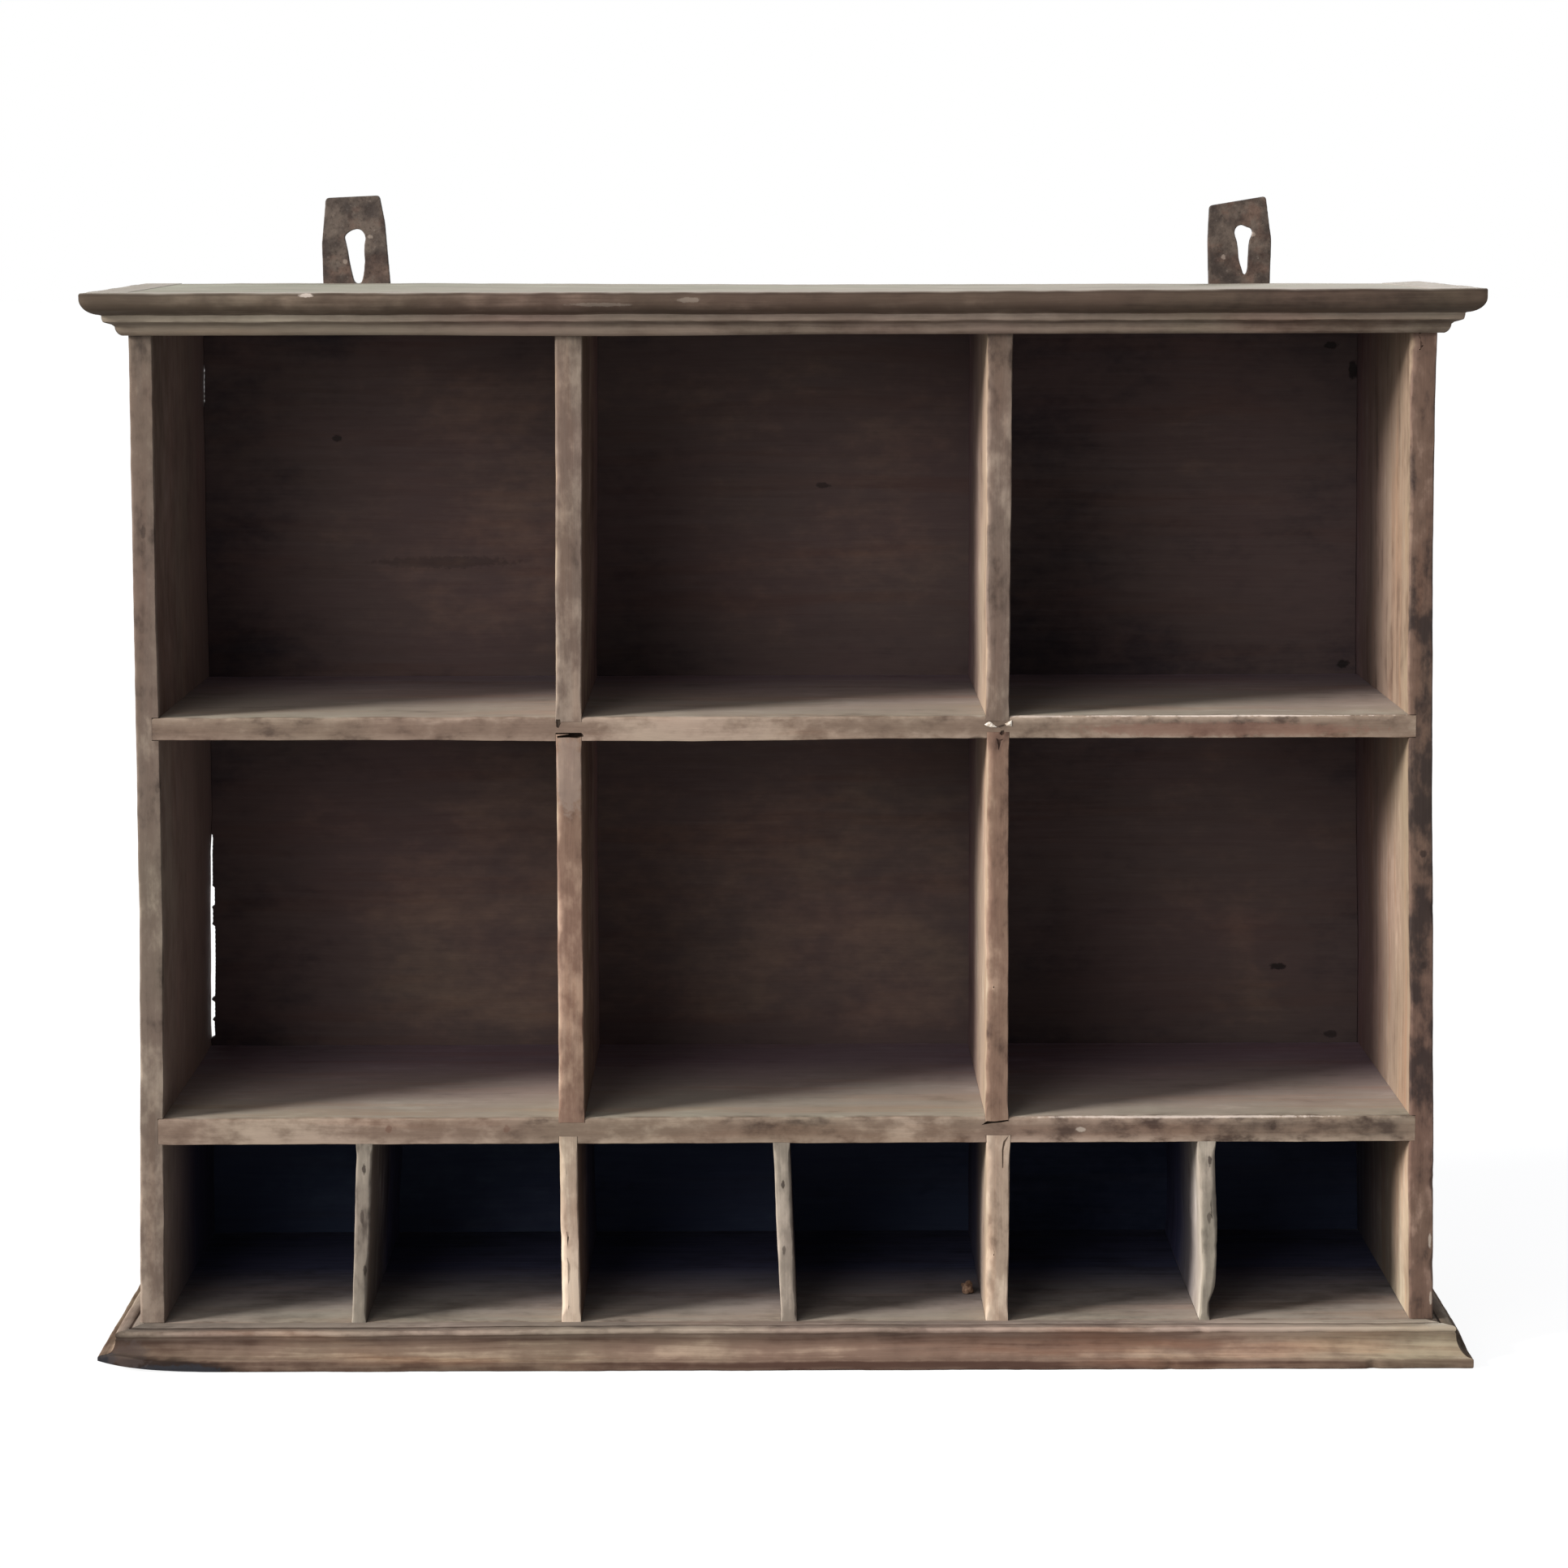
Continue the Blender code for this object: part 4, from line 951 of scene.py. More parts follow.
plank("worn_shelf_lower", "shelf_lower", "x", shelf_wood, (0.6, 0.6, 0.6, 1.8), 53,
      cuts=[groove("divider_middle_left", 162), groove("divider_middle_right", 162),
            groove("divider_bottom_left", 146), groove("divider_bottom_right", 150)],
      pits=LOWER_CROSSING,
      chips=((3, 232, 9, 1.6), (3, 30, 12, 1.4), (0, -150, 6, 1.2), (3, 156, 9, 1.4)),
      reshape=deeper_shelf, deep=lambda spots: 1.3,
      rub_and_highlight=by_width((-411, 1.0), (140, 1.0), (150, 1.8), (411, 1.2)),
      worn=by_width((-411, 0.06), (-280, 0.14), (-160, 0.08), (-120, 0.04), (20, -0.06),
                    (120, -0.04), (160, -0.06), (260, -0.12), (400, -0.1), (413, 0.1)))

# Dividers

# Deep inside, the dividers, thick and thin, get painted shade, most in the lowest row.
for label, (left, right, arrises, seed, material, worn) in THICK.items():
    node = "divider_" + label
    plank("worn_" + node, node, "z", material, arrises + (0.6, 0.6), seed,
          waviness=0.4 * MM, chips=THICK_CHIPS.get(label, ()), pits=THICK_PITS.get(label, ()),
          reshape=upright_faces(*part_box(node), left, right), worn=worn, fade=JOINT_FADE,
          deep=by_height((146, 1.7), (162, 1.0)))

for label, (left, right, seed, arrises, chips) in THIN.items():
    node = "thin_divider_" + label
    plank("worn_" + node, node, "z", thin_wood, arrises + (0.5, 0.5), seed,
          waviness=0.7 * MM, chips=chips, reshape=upright_faces(*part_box(node), left, right),
          deep=lambda spots: 1.6, fade=6 * MM)

notches = []
for side in ("left", "right"):
    low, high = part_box("hanging_plate_" + side)
    slab = points_of(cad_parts["hanging_plate_" + side])
    tail = slab[slab[:, 2] < TOP_Z - 5 * MM]
    notches.append(((tail[:, 0].min() - PLAY, low.y - PLAY, CEILING_Z - 5 * MM),
                    (tail[:, 0].max() + PLAY, REAR + 5 * MM, TOP_Z + 5 * MM)))


def lifted_corner(points):
    """The top has warped up a little at its rear left corner."""
    run = np.clip((points[:, 1] - FRONT) / (REAR - FRONT), 0.0, 1.0)
    share = np.clip((points[:, 2] - CEILING_Z) / (TOP_Z - CEILING_Z), 0.0, 1.0)
    points[:, 2] += 1.6 * MM * run * share * near(points[:, 0], -330 * MM, 60 * MM)
    return points


plank("worn_top_board", "top_board", "x", top_wood, (0.8, 0.2, 1.4, 0.5), 179,
      cuts=[groove("divider_top_left", 688), groove("divider_top_right", 688), panel_rebate(688)]
      + notches,
      reshape=lifted_corner,
      tint=by_width((-422, 0.7), (0, 0.3), (422, 0.0)))
# Deep inside, the floor of the lowest row gets strong painted shade.
plank("worn_base_board", "base_board", "x", shelf_wood, (0.8, 0.8, 0.2, 0.1), 191,
      cuts=[groove("divider_bottom_left", 25), groove("divider_bottom_right", 25)]
      + [groove("thin_divider_" + key, 25) for key in THIN] + [panel_rebate(25)],
      dust=dust_on_top(FLOOR_Z, 0.1), deep=lambda spots: 1.7,
      tone=lambda spots: -0.15 * (spots[:, 1] > FRONT + 2 * MM))


# Crumbs of pale broken wood at the right crossing: outlines on the front, standing proud of it.
CRUMBS = (
    ((130.3, 421.6), (133.2, 423.5), (134.6, 423.0), (138.4, 419.8), (134.6, 419.7), (130.8, 421.1)),
    ((143.5, 422.0), (148.1, 424.3), (148.0, 420.5), (144.8, 420.8)),
)


def flecked(name, scale, dark, pale):
    """A finish for broken wood."""
    material, tree, shader = new_material(name)
    fleck = between(tree, grain_noise(tree, object_place(tree), (scale, scale, scale), 3.0), 0.35, 0.65)
    tree.links.new(mix(tree, fleck, dark, pale), shader.inputs["Base Color"])
    shader.inputs["Roughness"].default_value = 0.9
    return material


def make_crumbs():
    pale = flecked("broken wood", 700, rgb(168, 152, 134), rgb(224, 216, 204))
    for number, outline in enumerate(CRUMBS):
        points = []
        for y, size in ((2.0, 1.0), (-0.15, 1.0), (-0.6, 0.55)):
            points += [(x * MM, FRONT + y * MM, z * MM) for x, z in shrunk(outline, size)]
        crumb = make_piece(f"broken_crumb_{number + 1}", points, ring_faces(3, len(outline)), pale)
        crease(crumb, 50)


make_crumbs()


def fallen_lump():
    """A lump of broken wood lying on the floor of the bottom row."""
    brown = flecked("lump of wood", 500, rgb(84, 60, 45), rgb(128, 102, 82))
    shape = bmesh.new()
    bmesh.ops.create_icosphere(shape, subdivisions=3, radius=1.0)
    shape.verts.ensure_lookup_table()
    points = []
    for vert in shape.verts:
        rough = 1 + 0.5 * noise.noise(vert.co * 1.6 + Vector((3, 0, 0)))
        x, y, z = vert.co * rough * 4.3
        points.append(((123 + x) * MM, FRONT + (64 + y) * MM, FLOOR_Z + max(3.6 + z, 0.05) * MM))
    faces = [tuple(vert.index for vert in face.verts) for face in shape.faces]
    shape.free()
    crease(make_piece("fallen_lump", points, faces, brown), 50)


fallen_lump()


# Mouldings

def arc(centre, radii, start, end, steps):
    turns = [math.radians(start + (end - start) * i / steps) for i in range(steps + 1)]
    return [(centre[0] + radii[0] * math.cos(t), centre[1] + radii[1] * math.sin(t))
            for t in turns]


def strip(places, part, arris=0.0, recess=0.0, front=0.0, tone=0.0, dust=0.0):
    """Rows of a section: out, up, part of it, then its masks. A mask given as a pair runs
    evenly from the first value to the second."""
    rows = []
    for i, (out, up) in enumerate(places):
        share = i / max(1, len(places) - 1)
        values = [v[0] + (v[1] - v[0]) * share if isinstance(v, tuple) else v
                  for v in (arris, recess, front, tone, dust)]
        rows.append((out, up, part, *values))
    return rows


# A moulding stands this far off the boards, in millimetres like the sections.
MOULDING_GAP = 0.05


# In the sections, the recess masks lay grime and painted shade in the quirks, coves and joints.
def cornice_section():
    rows = strip([(MOULDING_GAP, 0), (5, 0), (12, 0), (19, 0), (25.2, 0)], 0, dust=0.85)
    rows += strip(arc((26.1, -1.3), (1.3, 1.2), 84, 4, 4), 0, recess=(0.1, 0.45), front=(0.4, 1),
                  dust=(0.6, 0))
    rows += strip([(27.4, -2.4), (27.4, -4.2)], 1, front=1, tone=0.02)
    rows += strip(arc((14.6, -4.4), (12.8, 9.8), -6, -82, 10), 1, front=1, tone=(0.02, 0.04))
    rows += strip([(15.4, -14.4)], 1, recess=0.25, front=0.5)
    rows += strip([(15.0, -14.6), (15.0, -15.6), (14.7, -17.2), (14.2, -18.6)], 2,
                  arris=(0.5, 0.1), tone=(0.12, 0.0))
    rows += strip([(13.0, -19.1), (11.2, -19.7), (9.0, -20.4)], 3, recess=(0.2, 0.4), tone=-0.2)
    rows += strip(arc((2.2, -21.3), (5.2, 6.5), -4, -84, 8), 3, tone=(-0.2, -0.12), arris=(0, 0.2))
    rows += strip([(2.0, -27.8), (MOULDING_GAP, -27.8), (MOULDING_GAP, -20), (MOULDING_GAP, -10)], 0)
    return rows


def base_section():
    rows = strip([(MOULDING_GAP, 0), (8, 0), (17, 0)], 0, tone=-0.44)
    rows += strip(arc((25.2, 1.4), (1.4, 1.4), -90, 0, 4), 0, front=1, tone=-0.44, arris=(0, 0.2))
    rows += strip([(26.6, 3.0), (26.6, 5.0)], 0, front=1, tone=-0.4)
    rows += strip(arc((25.5, 5.6), (1.1, 1.1), 0, 90, 4), 0, front=1, tone=(-0.3, 0.04),
                  arris=(0, 0.3))
    rows += strip(arc((25.8, 19.6), (9.2, 12.9), 262, 215, 7), 1, front=1, tone=(0.1, -0.02))
    rows += strip(arc((25.8, 19.6), (9.2, 12.9), 208, 182, 4), 1, front=1, tone=(0.0, -0.1),
                  recess=(0, 0.5))
    rows += strip([(16.5, 20.5), (15.9, 21.4)], 2, front=0.6, recess=0.65)
    rows += strip(arc((15.0, 23.5), (1.6, 1.7), -30, 90, 5), 2, arris=(0.3, 0.8), tone=0.28)
    rows += strip([(12.5, 25.2), (9.0, 25.2)], 3, tone=0.25, dust=0.1)
    rows += strip([(8.5, 24.7), (7.3, 24.7)], 3, recess=0.7, tone=-0.2)
    rows += strip([(6.8, 25.3), (3, 25.3), (MOULDING_GAP, 25.3)], 3, dust=0.25)
    rows += strip([(MOULDING_GAP, 17), (MOULDING_GAP, 8)], 0)
    return rows


# Spacing of the rings of points along a moulding, how far the wear of a mitred corner
# reaches, and how far out the mouldings stand at most.
MOULD_SPACING = 2.6 * MM
TIP_REACH = 3 * MM
PROJECTION = 26 * MM


def mould_points(section, base_z, side, seed, chips, extra, tip):
    """Rings of points along one length of moulding, one ring for each place along it."""
    outs = np.array([row[0] for row in section]) * MM
    ups = np.array([row[1] for row in section]) * MM + base_z
    parts = np.array([row[2] for row in section])
    length = 2 * BODY_X if side == "front" else REAR - FRONT
    rings = int(length / MOULD_SPACING)
    places = np.linspace(-BODY_X, BODY_X, rings) if side == "front" else np.linspace(0, length, rings)
    points = np.zeros((rings, len(section), 3))
    out_at = np.zeros((rings, len(section)))
    up_at = np.zeros((rings, len(section)))
    for i in range(len(section)):
        hidden = outs[i] < 0.5 * MM
        drift = wander(places, 95 * MM, seed + parts[i]) * 0.28 * MM
        wear = (0.5 + 0.5 * np.clip(wander(places, 60 * MM, seed + 7 + parts[i]), -1, 1)) * 0.3 * MM
        out_at[:, i] = outs[i] - (0 if hidden else 1) * wear
        level = min(ups[i] - ups.min(), ups.max() - ups[i]) < 0.01 * MM
        up_at[:, i] = ups[i] + (0 if hidden or level else 1) * drift
    from_tip = np.minimum(places + BODY_X, BODY_X - places) if side == "front" else places
    for centre, half, depth, part in chips:
        ragged = 1 + 0.4 * wander(places, 7 * MM, seed + 91)
        dent = depth * MM * bump(places, centre * MM, half * MM) * ragged
        out_at[:, parts == part] -= dent[:, None] * np.clip(out_at[:, parts == part] / (20 * MM), 0, 1)
    out_at -= tip * np.exp(-from_tip / TIP_REACH)[:, None] * np.clip(outs / PROJECTION, 0, 1)
    if side == "front":
        share = places / BODY_X
        points[:, :, 0] = share[:, None] * (BODY_X + out_at - MITRE_PLAY)
        points[:, :, 0] += extra * np.clip(share, 0, 1)[:, None] * (outs > 1 * MM)
        points[:, :, 1] = FRONT - out_at
    else:
        sign = -1 if side == "left" else 1
        share = places / length
        start = FRONT - out_at + MITRE_PLAY
        points[:, :, 1] = start + share[:, None] * (REAR - start)
        points[:, :, 0] = sign * (BODY_X + out_at)
    points[:, :, 2] = np.clip(up_at, ups.min(), ups.max())
    return points


def mould(name, node, section, base_z, side, material, seed, chips=(), dark=None, tint=None,
          soot_and_shade=None, reshapes=(), extra=0.0, tip=0.8 * MM):
    """One length of moulding. side is front, left or right, extra lengthens the right end,
    and tip is how much its mitred corners are worn. dark, tint and soot_and_shade are
    functions of the points, added to the section's masks; soot_and_shade blackens rot and lays painted
    shade on a return in shadow."""
    points = mould_points(section, base_z, side, seed, chips, extra, tip)
    rings = len(points)
    flat = points.reshape(-1, 3)
    for reshape in reshapes:
        flat = reshape(flat.copy())
    piece = make_piece(name, flat, ring_faces(rings, len(section)), material, (node,))
    spots = points_of(piece)
    masks = {key: np.tile([row[3 + i] for row in section], rings)
             for i, key in enumerate(("arris", "recess", "front", "worn", "dust"))}
    if dark:
        masks["worn"] = masks["worn"] + dark(spots)
    if soot_and_shade:
        masks["recess"] = np.clip(masks["recess"] + soot_and_shade(spots), 0.0, 1.0)
        masks["dust"] = masks["dust"] * (1 - np.clip(soot_and_shade(spots), 0.0, 1.0))
    paint(piece, tint=tint(spots) if tint else 0.0, **masks)
    crease(piece, 50.0)
    return piece


def outward(points):
    """How far points stand out from the boards, sideways or to the front."""
    return np.maximum(np.abs(points[:, 0]) - BODY_X, FRONT - points[:, 1])


CORNER = Vector((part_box("base_moulding_front")[0].x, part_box("base_moulding_front")[0].y, 0.0))


def worn_corner(points):
    """The front left corner of the base, worn off underneath."""
    reach = (points[:, 0] - CORNER.x) + 0.7 * (points[:, 1] - CORNER.y)
    floor = 8.4 * MM * np.exp(-np.maximum(reach, 0) / (26 * MM)) - 0.1 * MM
    points[:, 2] = np.where(points[:, 0] < 0, np.maximum(points[:, 2], floor), points[:, 2])
    return points


def proud_plinth(rise):
    """A reshape that stands the plinth's outer edge higher by a rise in mm: along a return,
    and at the left corner of the front."""
    def shape(points):
        out = outward(points)
        behind = 1 - near(points[:, 1], FRONT - 10 * MM, FRONT + 30 * MM)
        left = near(points[:, 0], -BODY_X - 20 * MM, -BODY_X + 20 * MM)
        left = np.maximum(left, 0.3 * near(points[:, 0], -300 * MM, -120 * MM))
        along = np.maximum(behind, left)
        outer = near(-out, -25 * MM, -16 * MM) * near(-points[:, 2], -5 * MM, -2.5 * MM)
        points[:, 2] += rise * MM * along * outer
        return points
    return shape


def sagging_cornice(points):
    """The cornice's underside hangs a millimetre low left of the middle."""
    drop = 0.9 * MM * bump(points[:, 0], -110 * MM, 150 * MM)
    points[:, 2] -= drop * near(points[:, 2], TOP_Z - 27.5 * MM, TOP_Z - 20 * MM)
    return points


def lifted_front(points):
    """The cornice's outer top edge has warped up towards the right."""
    out = outward(points)
    share = np.clip(out / PROJECTION, 0.0, 1.0) * near(TOP_Z - points[:, 2], 0.5 * MM, 7 * MM)
    points[:, 2] += 1.3 * MM * share * near(-points[:, 0], -330 * MM, -20 * MM)
    return points


def low_lines(points):
    """The lines of the base moulding run lower at the left."""
    out = outward(points)
    share = np.clip(out / (9 * MM), 0.0, 1.0) * near(-points[:, 2], -21 * MM, -15 * MM)
    points[:, 2] -= 1.3 * MM * near(points[:, 0], -300 * MM, -80 * MM) * share
    return points


def rotten_corner(spots):
    """Black where the base's left corner has rotted."""
    x, y, z = (spots / MM).T
    level = np.interp(x, (-441, -400, -366, -350), (9.5, 8.6, 5.5, 1.0))
    low = near(z, level - 1.2, level + 1.2 + 1.2 * wander(x * MM, 30 * MM, 401))
    return near(x, -366, -345) * low * near(y, FRONT / MM + 10, FRONT / MM + 60)


CORNICE_TINT = by_width((-450, 0.9), (-300, 0.8), (-150, 0.3), (0, 0.1), (300, -0.3), (450, 0.4))
CORNICE_TONE = by_width((-450, 0.1), (-300, 0.2), (-150, 0.05), (0, -0.04), (150, 0.04),
                        (300, -0.1), (450, -0.12))
BASE_TINT = by_width((-450, 0.6), (-330, 0.2), (-200, -0.5), (0, -0.7), (150, -0.4), (300, -0.1),
                     (450, 0.6))
mould("worn_cornice_front", "cornice_front", cornice_section(), TOP_Z, "front", cornice_wood, 211,
      dark=CORNICE_TONE, tint=CORNICE_TINT, reshapes=(sagging_cornice, lifted_front),
      chips=((-300, 6, 0.8, 1),))
for side, seed, warp in (("left", 223, lifted_corner), ("right", 227, lifted_front)):
    mould("worn_cornice_" + side, "cornice_" + side, cornice_section(), TOP_Z, side,
          cornice_return_wood, seed, tint=CORNICE_TINT, reshapes=(warp,))
mould("worn_base_front", "base_moulding_front", base_section(), 0.0, "front", base_wood, 233,
      chips=((237, 4, 0.8, 0), (362, 5, 1.4, 0), (262, 4, 0.8, 2)),
      reshapes=(low_lines, proud_plinth(4.6), worn_corner),
      dark=by_width((-445, -0.6), (-425, -0.3), (-400, -0.16), (-330, -0.12), (-240, -0.06),
                    (-100, 0.0), (180, 0.02), (260, 0.2), (350, 0.32)),
      soot_and_shade=rotten_corner, tint=BASE_TINT, extra=0.6 * MM, tip=0.1 * MM)
mould("worn_base_left", "base_moulding_left", base_section(), 0.0, "left", base_return_wood, 239,
      reshapes=(low_lines, proud_plinth(4.6), worn_corner), dark=by_width((0, 0.1)), soot_and_shade=rotten_corner,
      tint=BASE_TINT, tip=0.1 * MM)
# The right return lies in the body's shadow: its darker tone and sooty darkening are painted shade.
mould("worn_base_right", "base_moulding_right", base_section(), 0.0, "right", base_return_wood,
      251, reshapes=(proud_plinth(4.0),), dark=by_width((0, -0.2)), soot_and_shade=by_width((0, 0.65)),
      tint=BASE_TINT, tip=0.1 * MM)


# Back panel

gap_seen = profile(GAP_SEEN)
left_inner = profile(LEFT_INNER)
right_inner = profile(RIGHT_INNER)


def ragged_back(points):
    """The back panel's left edge stands off the side where light shows through."""
    height = points[:, 2]
    fray = 0.12 * MM * wander(height, 3.2 * MM, 307)
    seen = gap_seen(height)
    edge = -(left_inner(height) + bow_at(height)) + 0.15 * MM
    edge = edge + np.where(seen != 0, np.maximum(seen + GAP_HIDDEN * MM + fray, 0.0), 0.0)
    low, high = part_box("back_panel")
    left = near(points[:, 0], low.x + 2 * MM, low.x + 30 * MM)
    right = near(-points[:, 0], -high.x + 2 * MM, -high.x + 30 * MM)
    points[:, 0] += (edge - low.x) * left + (right_inner(height) - 0.2 * MM - high.x) * right
    return points


def back_places():
    """Heights of the panel's rings, close together beside the gaps."""
    low, high = [c.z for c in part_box("back_panel")]
    stretches = ((low, 162 * MM, 5 * MM), (162 * MM, 318 * MM, 0.7 * MM),
                 (318 * MM, 595 * MM, 6 * MM), (595 * MM, 660 * MM, 1.6 * MM),
                 (660 * MM, high, 6 * MM))
    places = [np.linspace(a, b, int((b - a) / step), endpoint=False) for a, b, step in stretches]
    return np.append(np.concatenate(places), high)


def painted_back_shade(spots):
    """Painted shade on the panel: browner towards the right of each bay, darker near its left
    where a divider's shadow falls, along the top and foot of the bays and in three clouds, and
    lighter at the far left of the lowest row.
    """
    x, z = spots[:, 0] / MM, spots[:, 2] / MM
    bays = np.interp(x, (-400, -330, -200, -150, -125, -60, 60, 125, 155, 230, 330, 400),
                     (-0.2, -0.02, 0.14, 0.14, -0.02, 0.05, 0.08, 0.05, -0.18, -0.12, 0.0, -0.08))
    rows = np.interp(z, (162, 185, 330, 411, 430, 470, 640, 688),
                     (-0.08, 0.1, 0.08, -0.08, -0.15, 0.0, 0, -0.2))
    clouds = 0.16 * bump(x, -330, 75) * bump(z, 240, 80) + 0.2 * bump(x, 385, 55) * bump(z, 240, 75)
    clouds += 0.22 * bump(x, -315, 60) * bump(z, 675, 38)
    lower_left = 0.2 * near(x, -300, -150) * near(z, 146, 152)
    return bays + rows + lower_left - clouds


# The painted shade of the lower row lies on the panel's front alone, this deep at most.
PANEL_SKIN = 0.3 * MM

back = plank("worn_back_panel", "back_panel", "z", back_wood, (0.4, 0.4, 0.4, 0.4),
             307, waviness=0.0, reshape=ragged_back, places=back_places(), tone=painted_back_shade)
back_spots = points_of(back)
lower_row = near(back_spots[:, 2], LOWER_SHELF_Z, LOWER_SHELF_Z + 4 * MM)
lower_row *= back_spots[:, 1] < BACK_FACE + PANEL_SKIN
back.data.attributes["deep"].data.foreach_set("value", lower_row.astype(np.float32))


# Ironwork

def make_iron():
    material, tree, shader = new_material("old iron", 0.3)
    place = object_place(tree)
    cloud = grain_noise(tree, place, (70, 70, 70), 5.0, 0.65)
    speck = grain_noise(tree, place, (420, 420, 420), 3.0, 0.6)
    color = mix(tree, between(tree, cloud, 0.35, 0.68), rgb(50, 41, 36), rgb(92, 80, 71))
    color = mix(tree, between(tree, speck, 0.64, 0.76, 0.0, 0.3), color, rgb(140, 128, 118))
    color = mix(tree, between(tree, speck, 0.28, 0.42, 0.5, 0.0), color, rgb(32, 25, 21))
    rust = between(tree, grain_noise(tree, place, (60, 60, 60), 3.0), 0.46, 0.6, 0.0, 0.6)
    color = mix(tree, rust, color, (1.1, 0.84, 0.76, 1), "MULTIPLY")
    rim = mask_attribute(tree, "rim")
    color = mix(tree, maths(tree, "MULTIPLY", rim, 0.85), color, rgb(24, 20, 18))
    for x, z in ((-302, 741), (-289, 737.5), (-307, 720), (331, 738), (310, 722)):
        mask = grouped(tree, MARK, {"Vector": place, "Centre": (x * MM, REAR - 3 * MM, z * MM),
                                    "Reach": (2.4 * MM, 4 * MM, 2.0 * MM), "Ragged": 0.5})["Mask"]
        color = mix(tree, maths(tree, "MULTIPLY", mask, 0.4), color, rgb(165, 150, 138))
    tree.links.new(color, shader.inputs["Base Color"])
    shader.inputs["Metallic"].default_value = 0.1
    tree.links.new(between(tree, speck, 0.3, 0.7, 0.8, 0.6), shader.inputs["Roughness"])
    height = maths(tree, "ADD", cloud, maths(tree, "MULTIPLY", speck, 0.6))
    relief = put(tree, "ShaderNodeBump", {"Height": height, "Strength": 0.4, "Distance": 0.5 * MM})
    tree.links.new(relief.outputs["Normal"], shader.inputs["Normal"])
    return material


iron = make_iron()


def softened_plate(side):
    """A copy of a hanging plate with rounded edges and an even mesh."""
    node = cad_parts["hanging_plate_" + side]
    mesh = node.data.copy()
    mesh.name = "forged_plate_" + side
    plate = new_object("forged_plate_" + side, mesh)
    soften = plate.modifiers.new("soften", "BEVEL")
    soften.width = 0.9 * MM
    soften.segments = 3
    soften.limit_method = "ANGLE"
    soften.angle_limit = math.radians(50)
    even = plate.modifiers.new("even", "REMESH")
    even.mode = "VOXEL"
    even.voxel_size = 0.55 * MM
    plate.data = applied(plate)
    plate.modifiers.clear()
    return plate


def forge_plate(side, seed):
    """A hanging plate with hammered faces, softened edges and darker rims."""
    plate = softened_plate(side)
    shape = bmesh.new()
    shape.from_mesh(plate.data)
    bmesh.ops.smooth_vert(shape, verts=shape.verts, factor=0.5, use_axis_x=True,
                          use_axis_y=True, use_axis_z=True)
    shape.normal_update()
    face_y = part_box("hanging_plate_" + side)[0].y
    rims = []
    for vert in shape.verts:
        spot = vert.co * 90 + Vector((seed, 0, 0))
        depth = 0.14 * MM * (noise.noise(spot) + 1) + 0.1 * MM * noise.noise(spot * 3.1)
        rims.append(min(1.0, max(0.0, (vert.co.y - face_y - 0.15 * MM) / (0.6 * MM))))
        if vert.co.y < REAR - 1.0 * MM:
            vert.co -= vert.normal * max(depth, 0.0)
    shape.to_mesh(plate.data)
    shape.free()
    store(plate, "rim", rims)
    for face in plate.data.polygons:
        face.use_smooth = True
    plate.data.materials.clear()
    plate.data.materials.append(iron)
    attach(plate, "root")
    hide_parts("hanging_plate_" + side)
    return plate


forge_plate("left", 3.0)
forge_plate("right", 17.0)
for name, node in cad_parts.items():
    if name.startswith("plate_screw"):
        node.data.materials.clear()
        node.data.materials.append(iron)


# Nails

NAIL_RADIUS = 2.3 * MM
NAIL_PROUD = 0.25 * MM


def nail_heads(name, places, axis, sign):
    """Flat nail heads, a little proud of a face that looks along an axis."""
    shape = bmesh.new()
    way = Vector((0, 0, 0))
    way[axis] = sign
    turn = way.to_track_quat("Z", "Y").to_matrix().to_4x4()
    for place in places:
        spot = Matrix.Translation(Vector(place) - way * (1.5 * MM - NAIL_PROUD)) @ turn
        bmesh.ops.create_cone(shape, cap_ends=True, segments=14, radius1=NAIL_RADIUS,
                              radius2=NAIL_RADIUS * 0.82, depth=3 * MM, matrix=spot)
    mesh = bpy.data.meshes.new(name)
    shape.to_mesh(mesh)
    shape.free()
    heads = new_object(name, mesh)
    mesh.materials.append(iron)
    store(heads, "rim", 0.4)
    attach(heads, "root")
    crease(heads, 50)


def side_nails(sign, outer):
    """Places of the nails through a side into the ends of the shelves."""
    outer_at = profile(outer)
    heights = (LOWER_SHELF_Z + 8 * MM, shelf_up[0].z + 8 * MM)
    return [(sign * outer_at(z), y, z) for z in heights
            for y in (FRONT + 32 * MM, 8 * MM, REAR - 45 * MM)]


nail_heads("nails_left", side_nails(-1, LEFT_OUTER), 0, -1)
nail_heads("nails_right", side_nails(1, RIGHT_OUTER), 0, 1)
nail_heads("nails_back", [(x * MM, REAR - 0.3 * MM, z * MM) for z in (34, 154, 420, 680)
                          for x in (-360, -235, -140, -10, 140, 240, 365)], 1, 1)


# Floor, light and camera

FLOOR_REACH = 30.0

# Every lamp stands this far off and looks at a point this high.
LAMP_DISTANCE = 4.0
LAMP_AIM = Vector((0, 0, 0.35))

# The camera stands where the photograph was taken from. The lengths are in millimetres, the
# distance is from the unit's front, and the focal length is in pixels of the photograph.
PHOTO_WIDTH = 1932.0
FOCAL_LENGTH = 4637.8
SENSOR_WIDTH = 36.0
CAMERA_SIDEWAYS, CAMERA_DISTANCE, CAMERA_HEIGHT = -8.3, 2429.0, 753.2
PITCH, YAW, ROLL = math.radians(4.856), math.radians(0.198), math.radians(-0.122)

def white_to_camera(tree):
    """1 for rays that should see the plain background, else 0."""
    path = put(tree, "ShaderNodeLightPath").outputs
    seen = maths(tree, "MAXIMUM", path["Is Camera Ray"], path["Is Glossy Ray"])
    return maths(tree, "MAXIMUM", seen, path["Is Transmission Ray"])


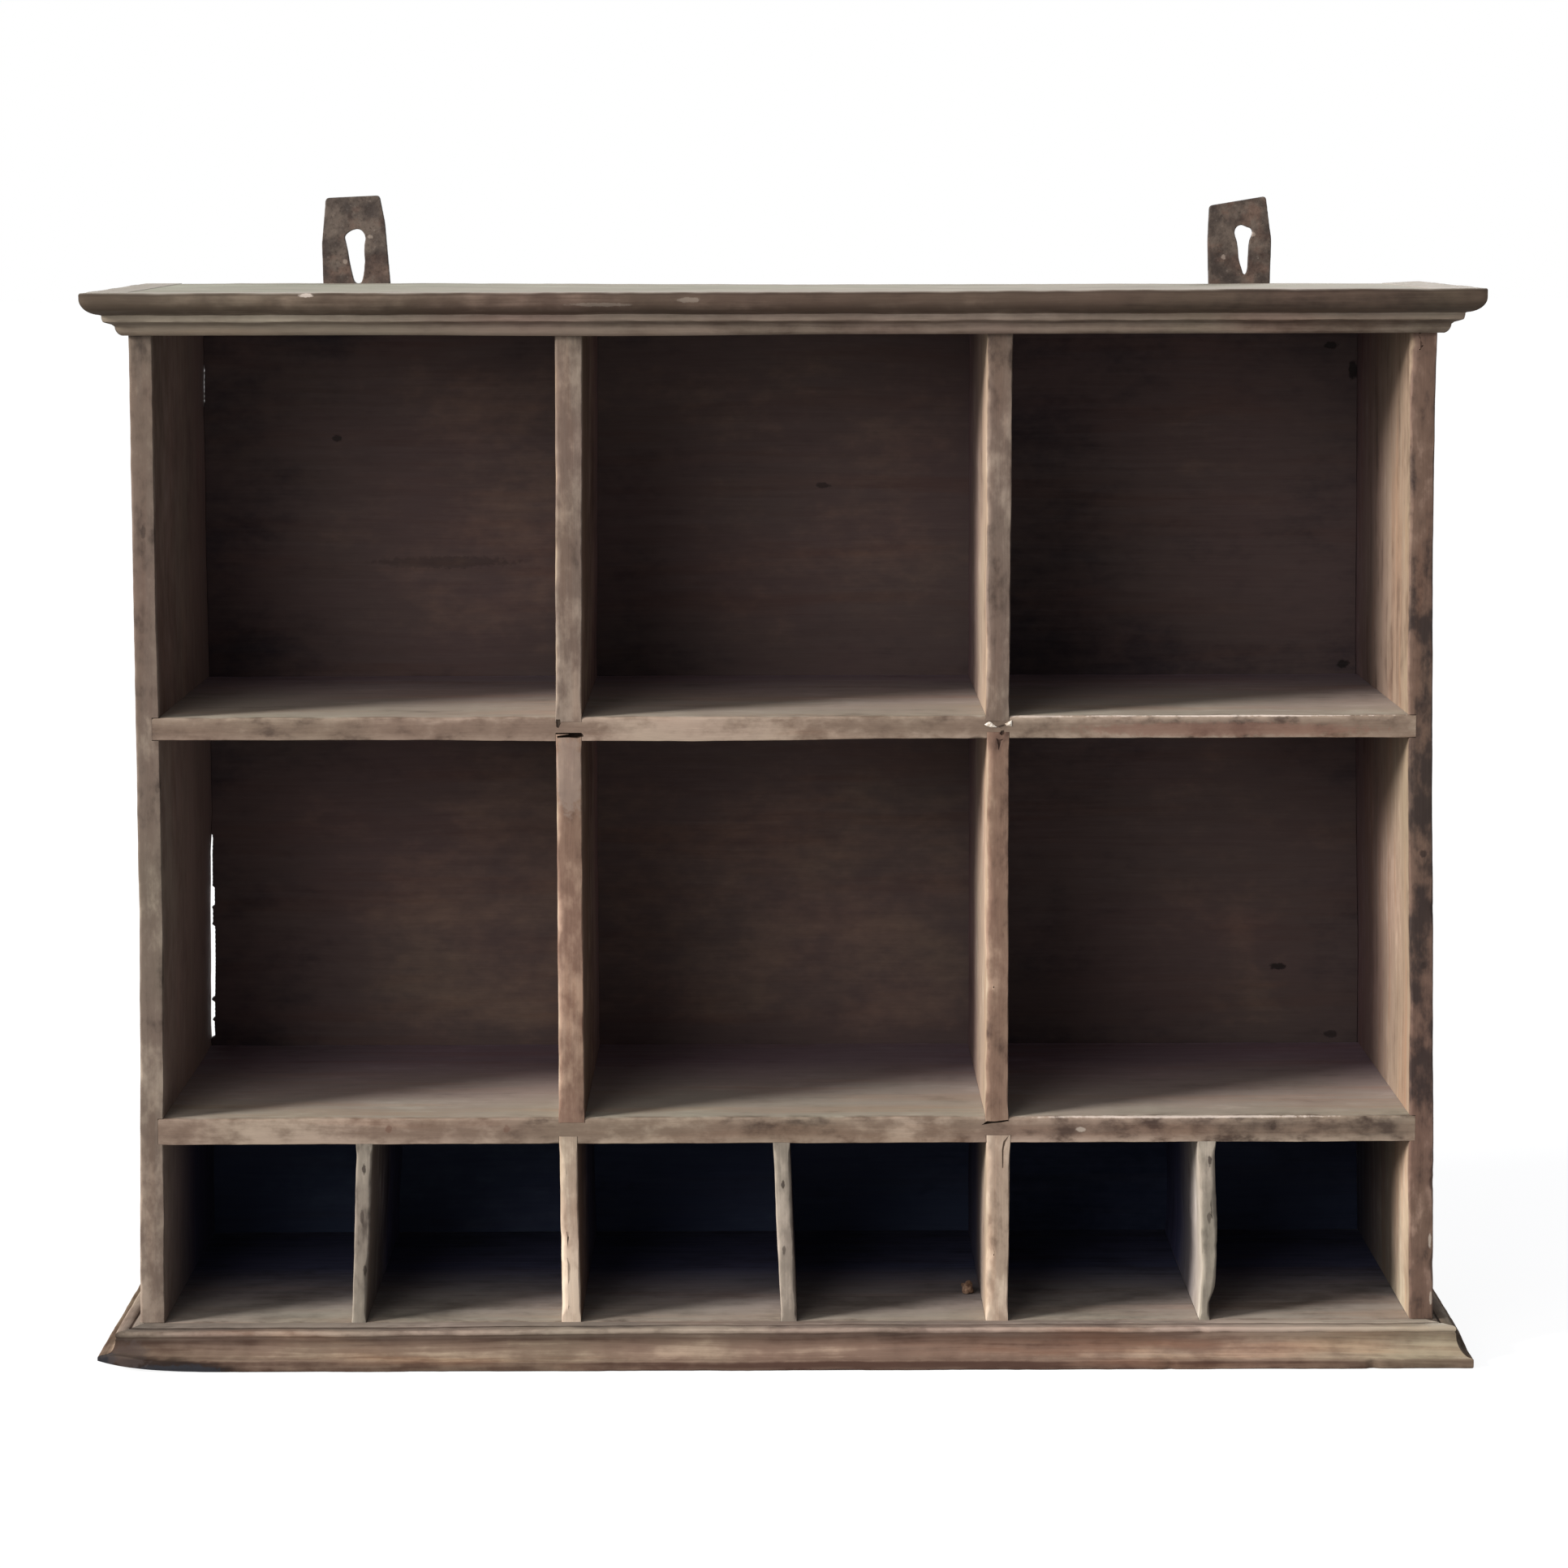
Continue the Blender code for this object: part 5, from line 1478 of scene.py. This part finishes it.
def make_floor():
    material, tree, shader = new_material("pale floor", 0.0)
    seen = white_to_camera(tree)
    color = mix(tree, seen, (0.5, 0.5, 0.5, 1), (0.2, 0.2, 0.2, 1))
    tree.links.new(color, shader.inputs["Base Color"])
    shader.inputs["Roughness"].default_value = 1.0
    glow = mix(tree, seen, (0, 0, 0, 1), (0.86, 0.86, 0.86, 1))
    tree.links.new(glow, shader.inputs["Emission Color"])
    shader.inputs["Emission Strength"].default_value = 1.0
    mesh = bpy.data.meshes.new("floor")
    corners = ((-1, -1), (1, -1), (1, 1), (-1, 1))
    mesh.from_pydata([(x * FLOOR_REACH, y * FLOOR_REACH, 0) for x, y in corners], [], [(0, 1, 2, 3)])
    mesh.materials.append(material)
    new_object("floor", mesh)


def make_world():
    world = bpy.data.worlds.new("studio")
    world.use_nodes = True
    bpy.context.scene.world = world
    tree = world.node_tree
    seen = white_to_camera(tree)
    color = mix(tree, seen, (0.105, 0.125, 0.165, 1), (1, 1, 1, 1))
    tree.links.new(color, tree.nodes["Background"].inputs["Color"])


def toward(azimuth, elevation):
    """Direction to a lamp: azimuth 0 is straight in front, 90 is at the left."""
    a, e = math.radians(azimuth), math.radians(elevation)
    return Vector((-math.sin(a) * math.cos(e), -math.cos(a) * math.cos(e), math.sin(e)))


def light(name, kind, azimuth, elevation, strength, color, **settings):
    """A lamp that looks at the unit from an azimuth and an elevation."""
    lamp = bpy.data.lights.new(name, kind)
    lamp.energy = strength
    lamp.color = color
    for key, value in settings.items():
        setattr(lamp, key, value)
    stand = new_object(name, lamp)
    way = toward(azimuth, elevation)
    stand.location = way * LAMP_DISTANCE + LAMP_AIM
    stand.rotation_euler = way.to_track_quat("Z", "Y").to_euler()


make_floor()
make_world()
light("window", "SUN", 67, 20, 6.5, (1.0, 0.98, 0.96), angle=math.radians(16))
light("room", "AREA", 28, 22, 62, (1.0, 0.98, 0.96), shape="DISK", size=2.4)
light("rear room", "AREA", 215, 30, 110, (1.0, 1.0, 1.0), shape="DISK", size=2.4)


def make_camera():
    lens = bpy.data.cameras.new("camera")
    lens.sensor_width = SENSOR_WIDTH
    lens.lens = FOCAL_LENGTH * SENSOR_WIDTH / PHOTO_WIDTH
    lens.shift_y = -0.16
    lens.clip_end = 100.0
    camera = new_object("camera", lens)
    facing = Vector((math.sin(YAW), math.cos(YAW), 0.0))
    level = Vector((math.cos(YAW), -math.sin(YAW), 0.0))
    ahead = math.cos(PITCH) * facing - math.sin(PITCH) * Vector((0, 0, 1))
    up = math.sin(PITCH) * facing + math.cos(PITCH) * Vector((0, 0, 1))
    right = math.cos(ROLL) * level + math.sin(ROLL) * up
    top = -math.sin(ROLL) * level + math.cos(ROLL) * up
    turn = Matrix((right, top, -ahead)).transposed().to_4x4()
    place = (CAMERA_SIDEWAYS * MM, FRONT - CAMERA_DISTANCE * MM, CAMERA_HEIGHT * MM)
    camera.matrix_world = Matrix.Translation(place) @ turn
    bpy.context.scene.camera = camera


make_camera()
bpy.context.scene.view_settings.view_transform = "Standard"
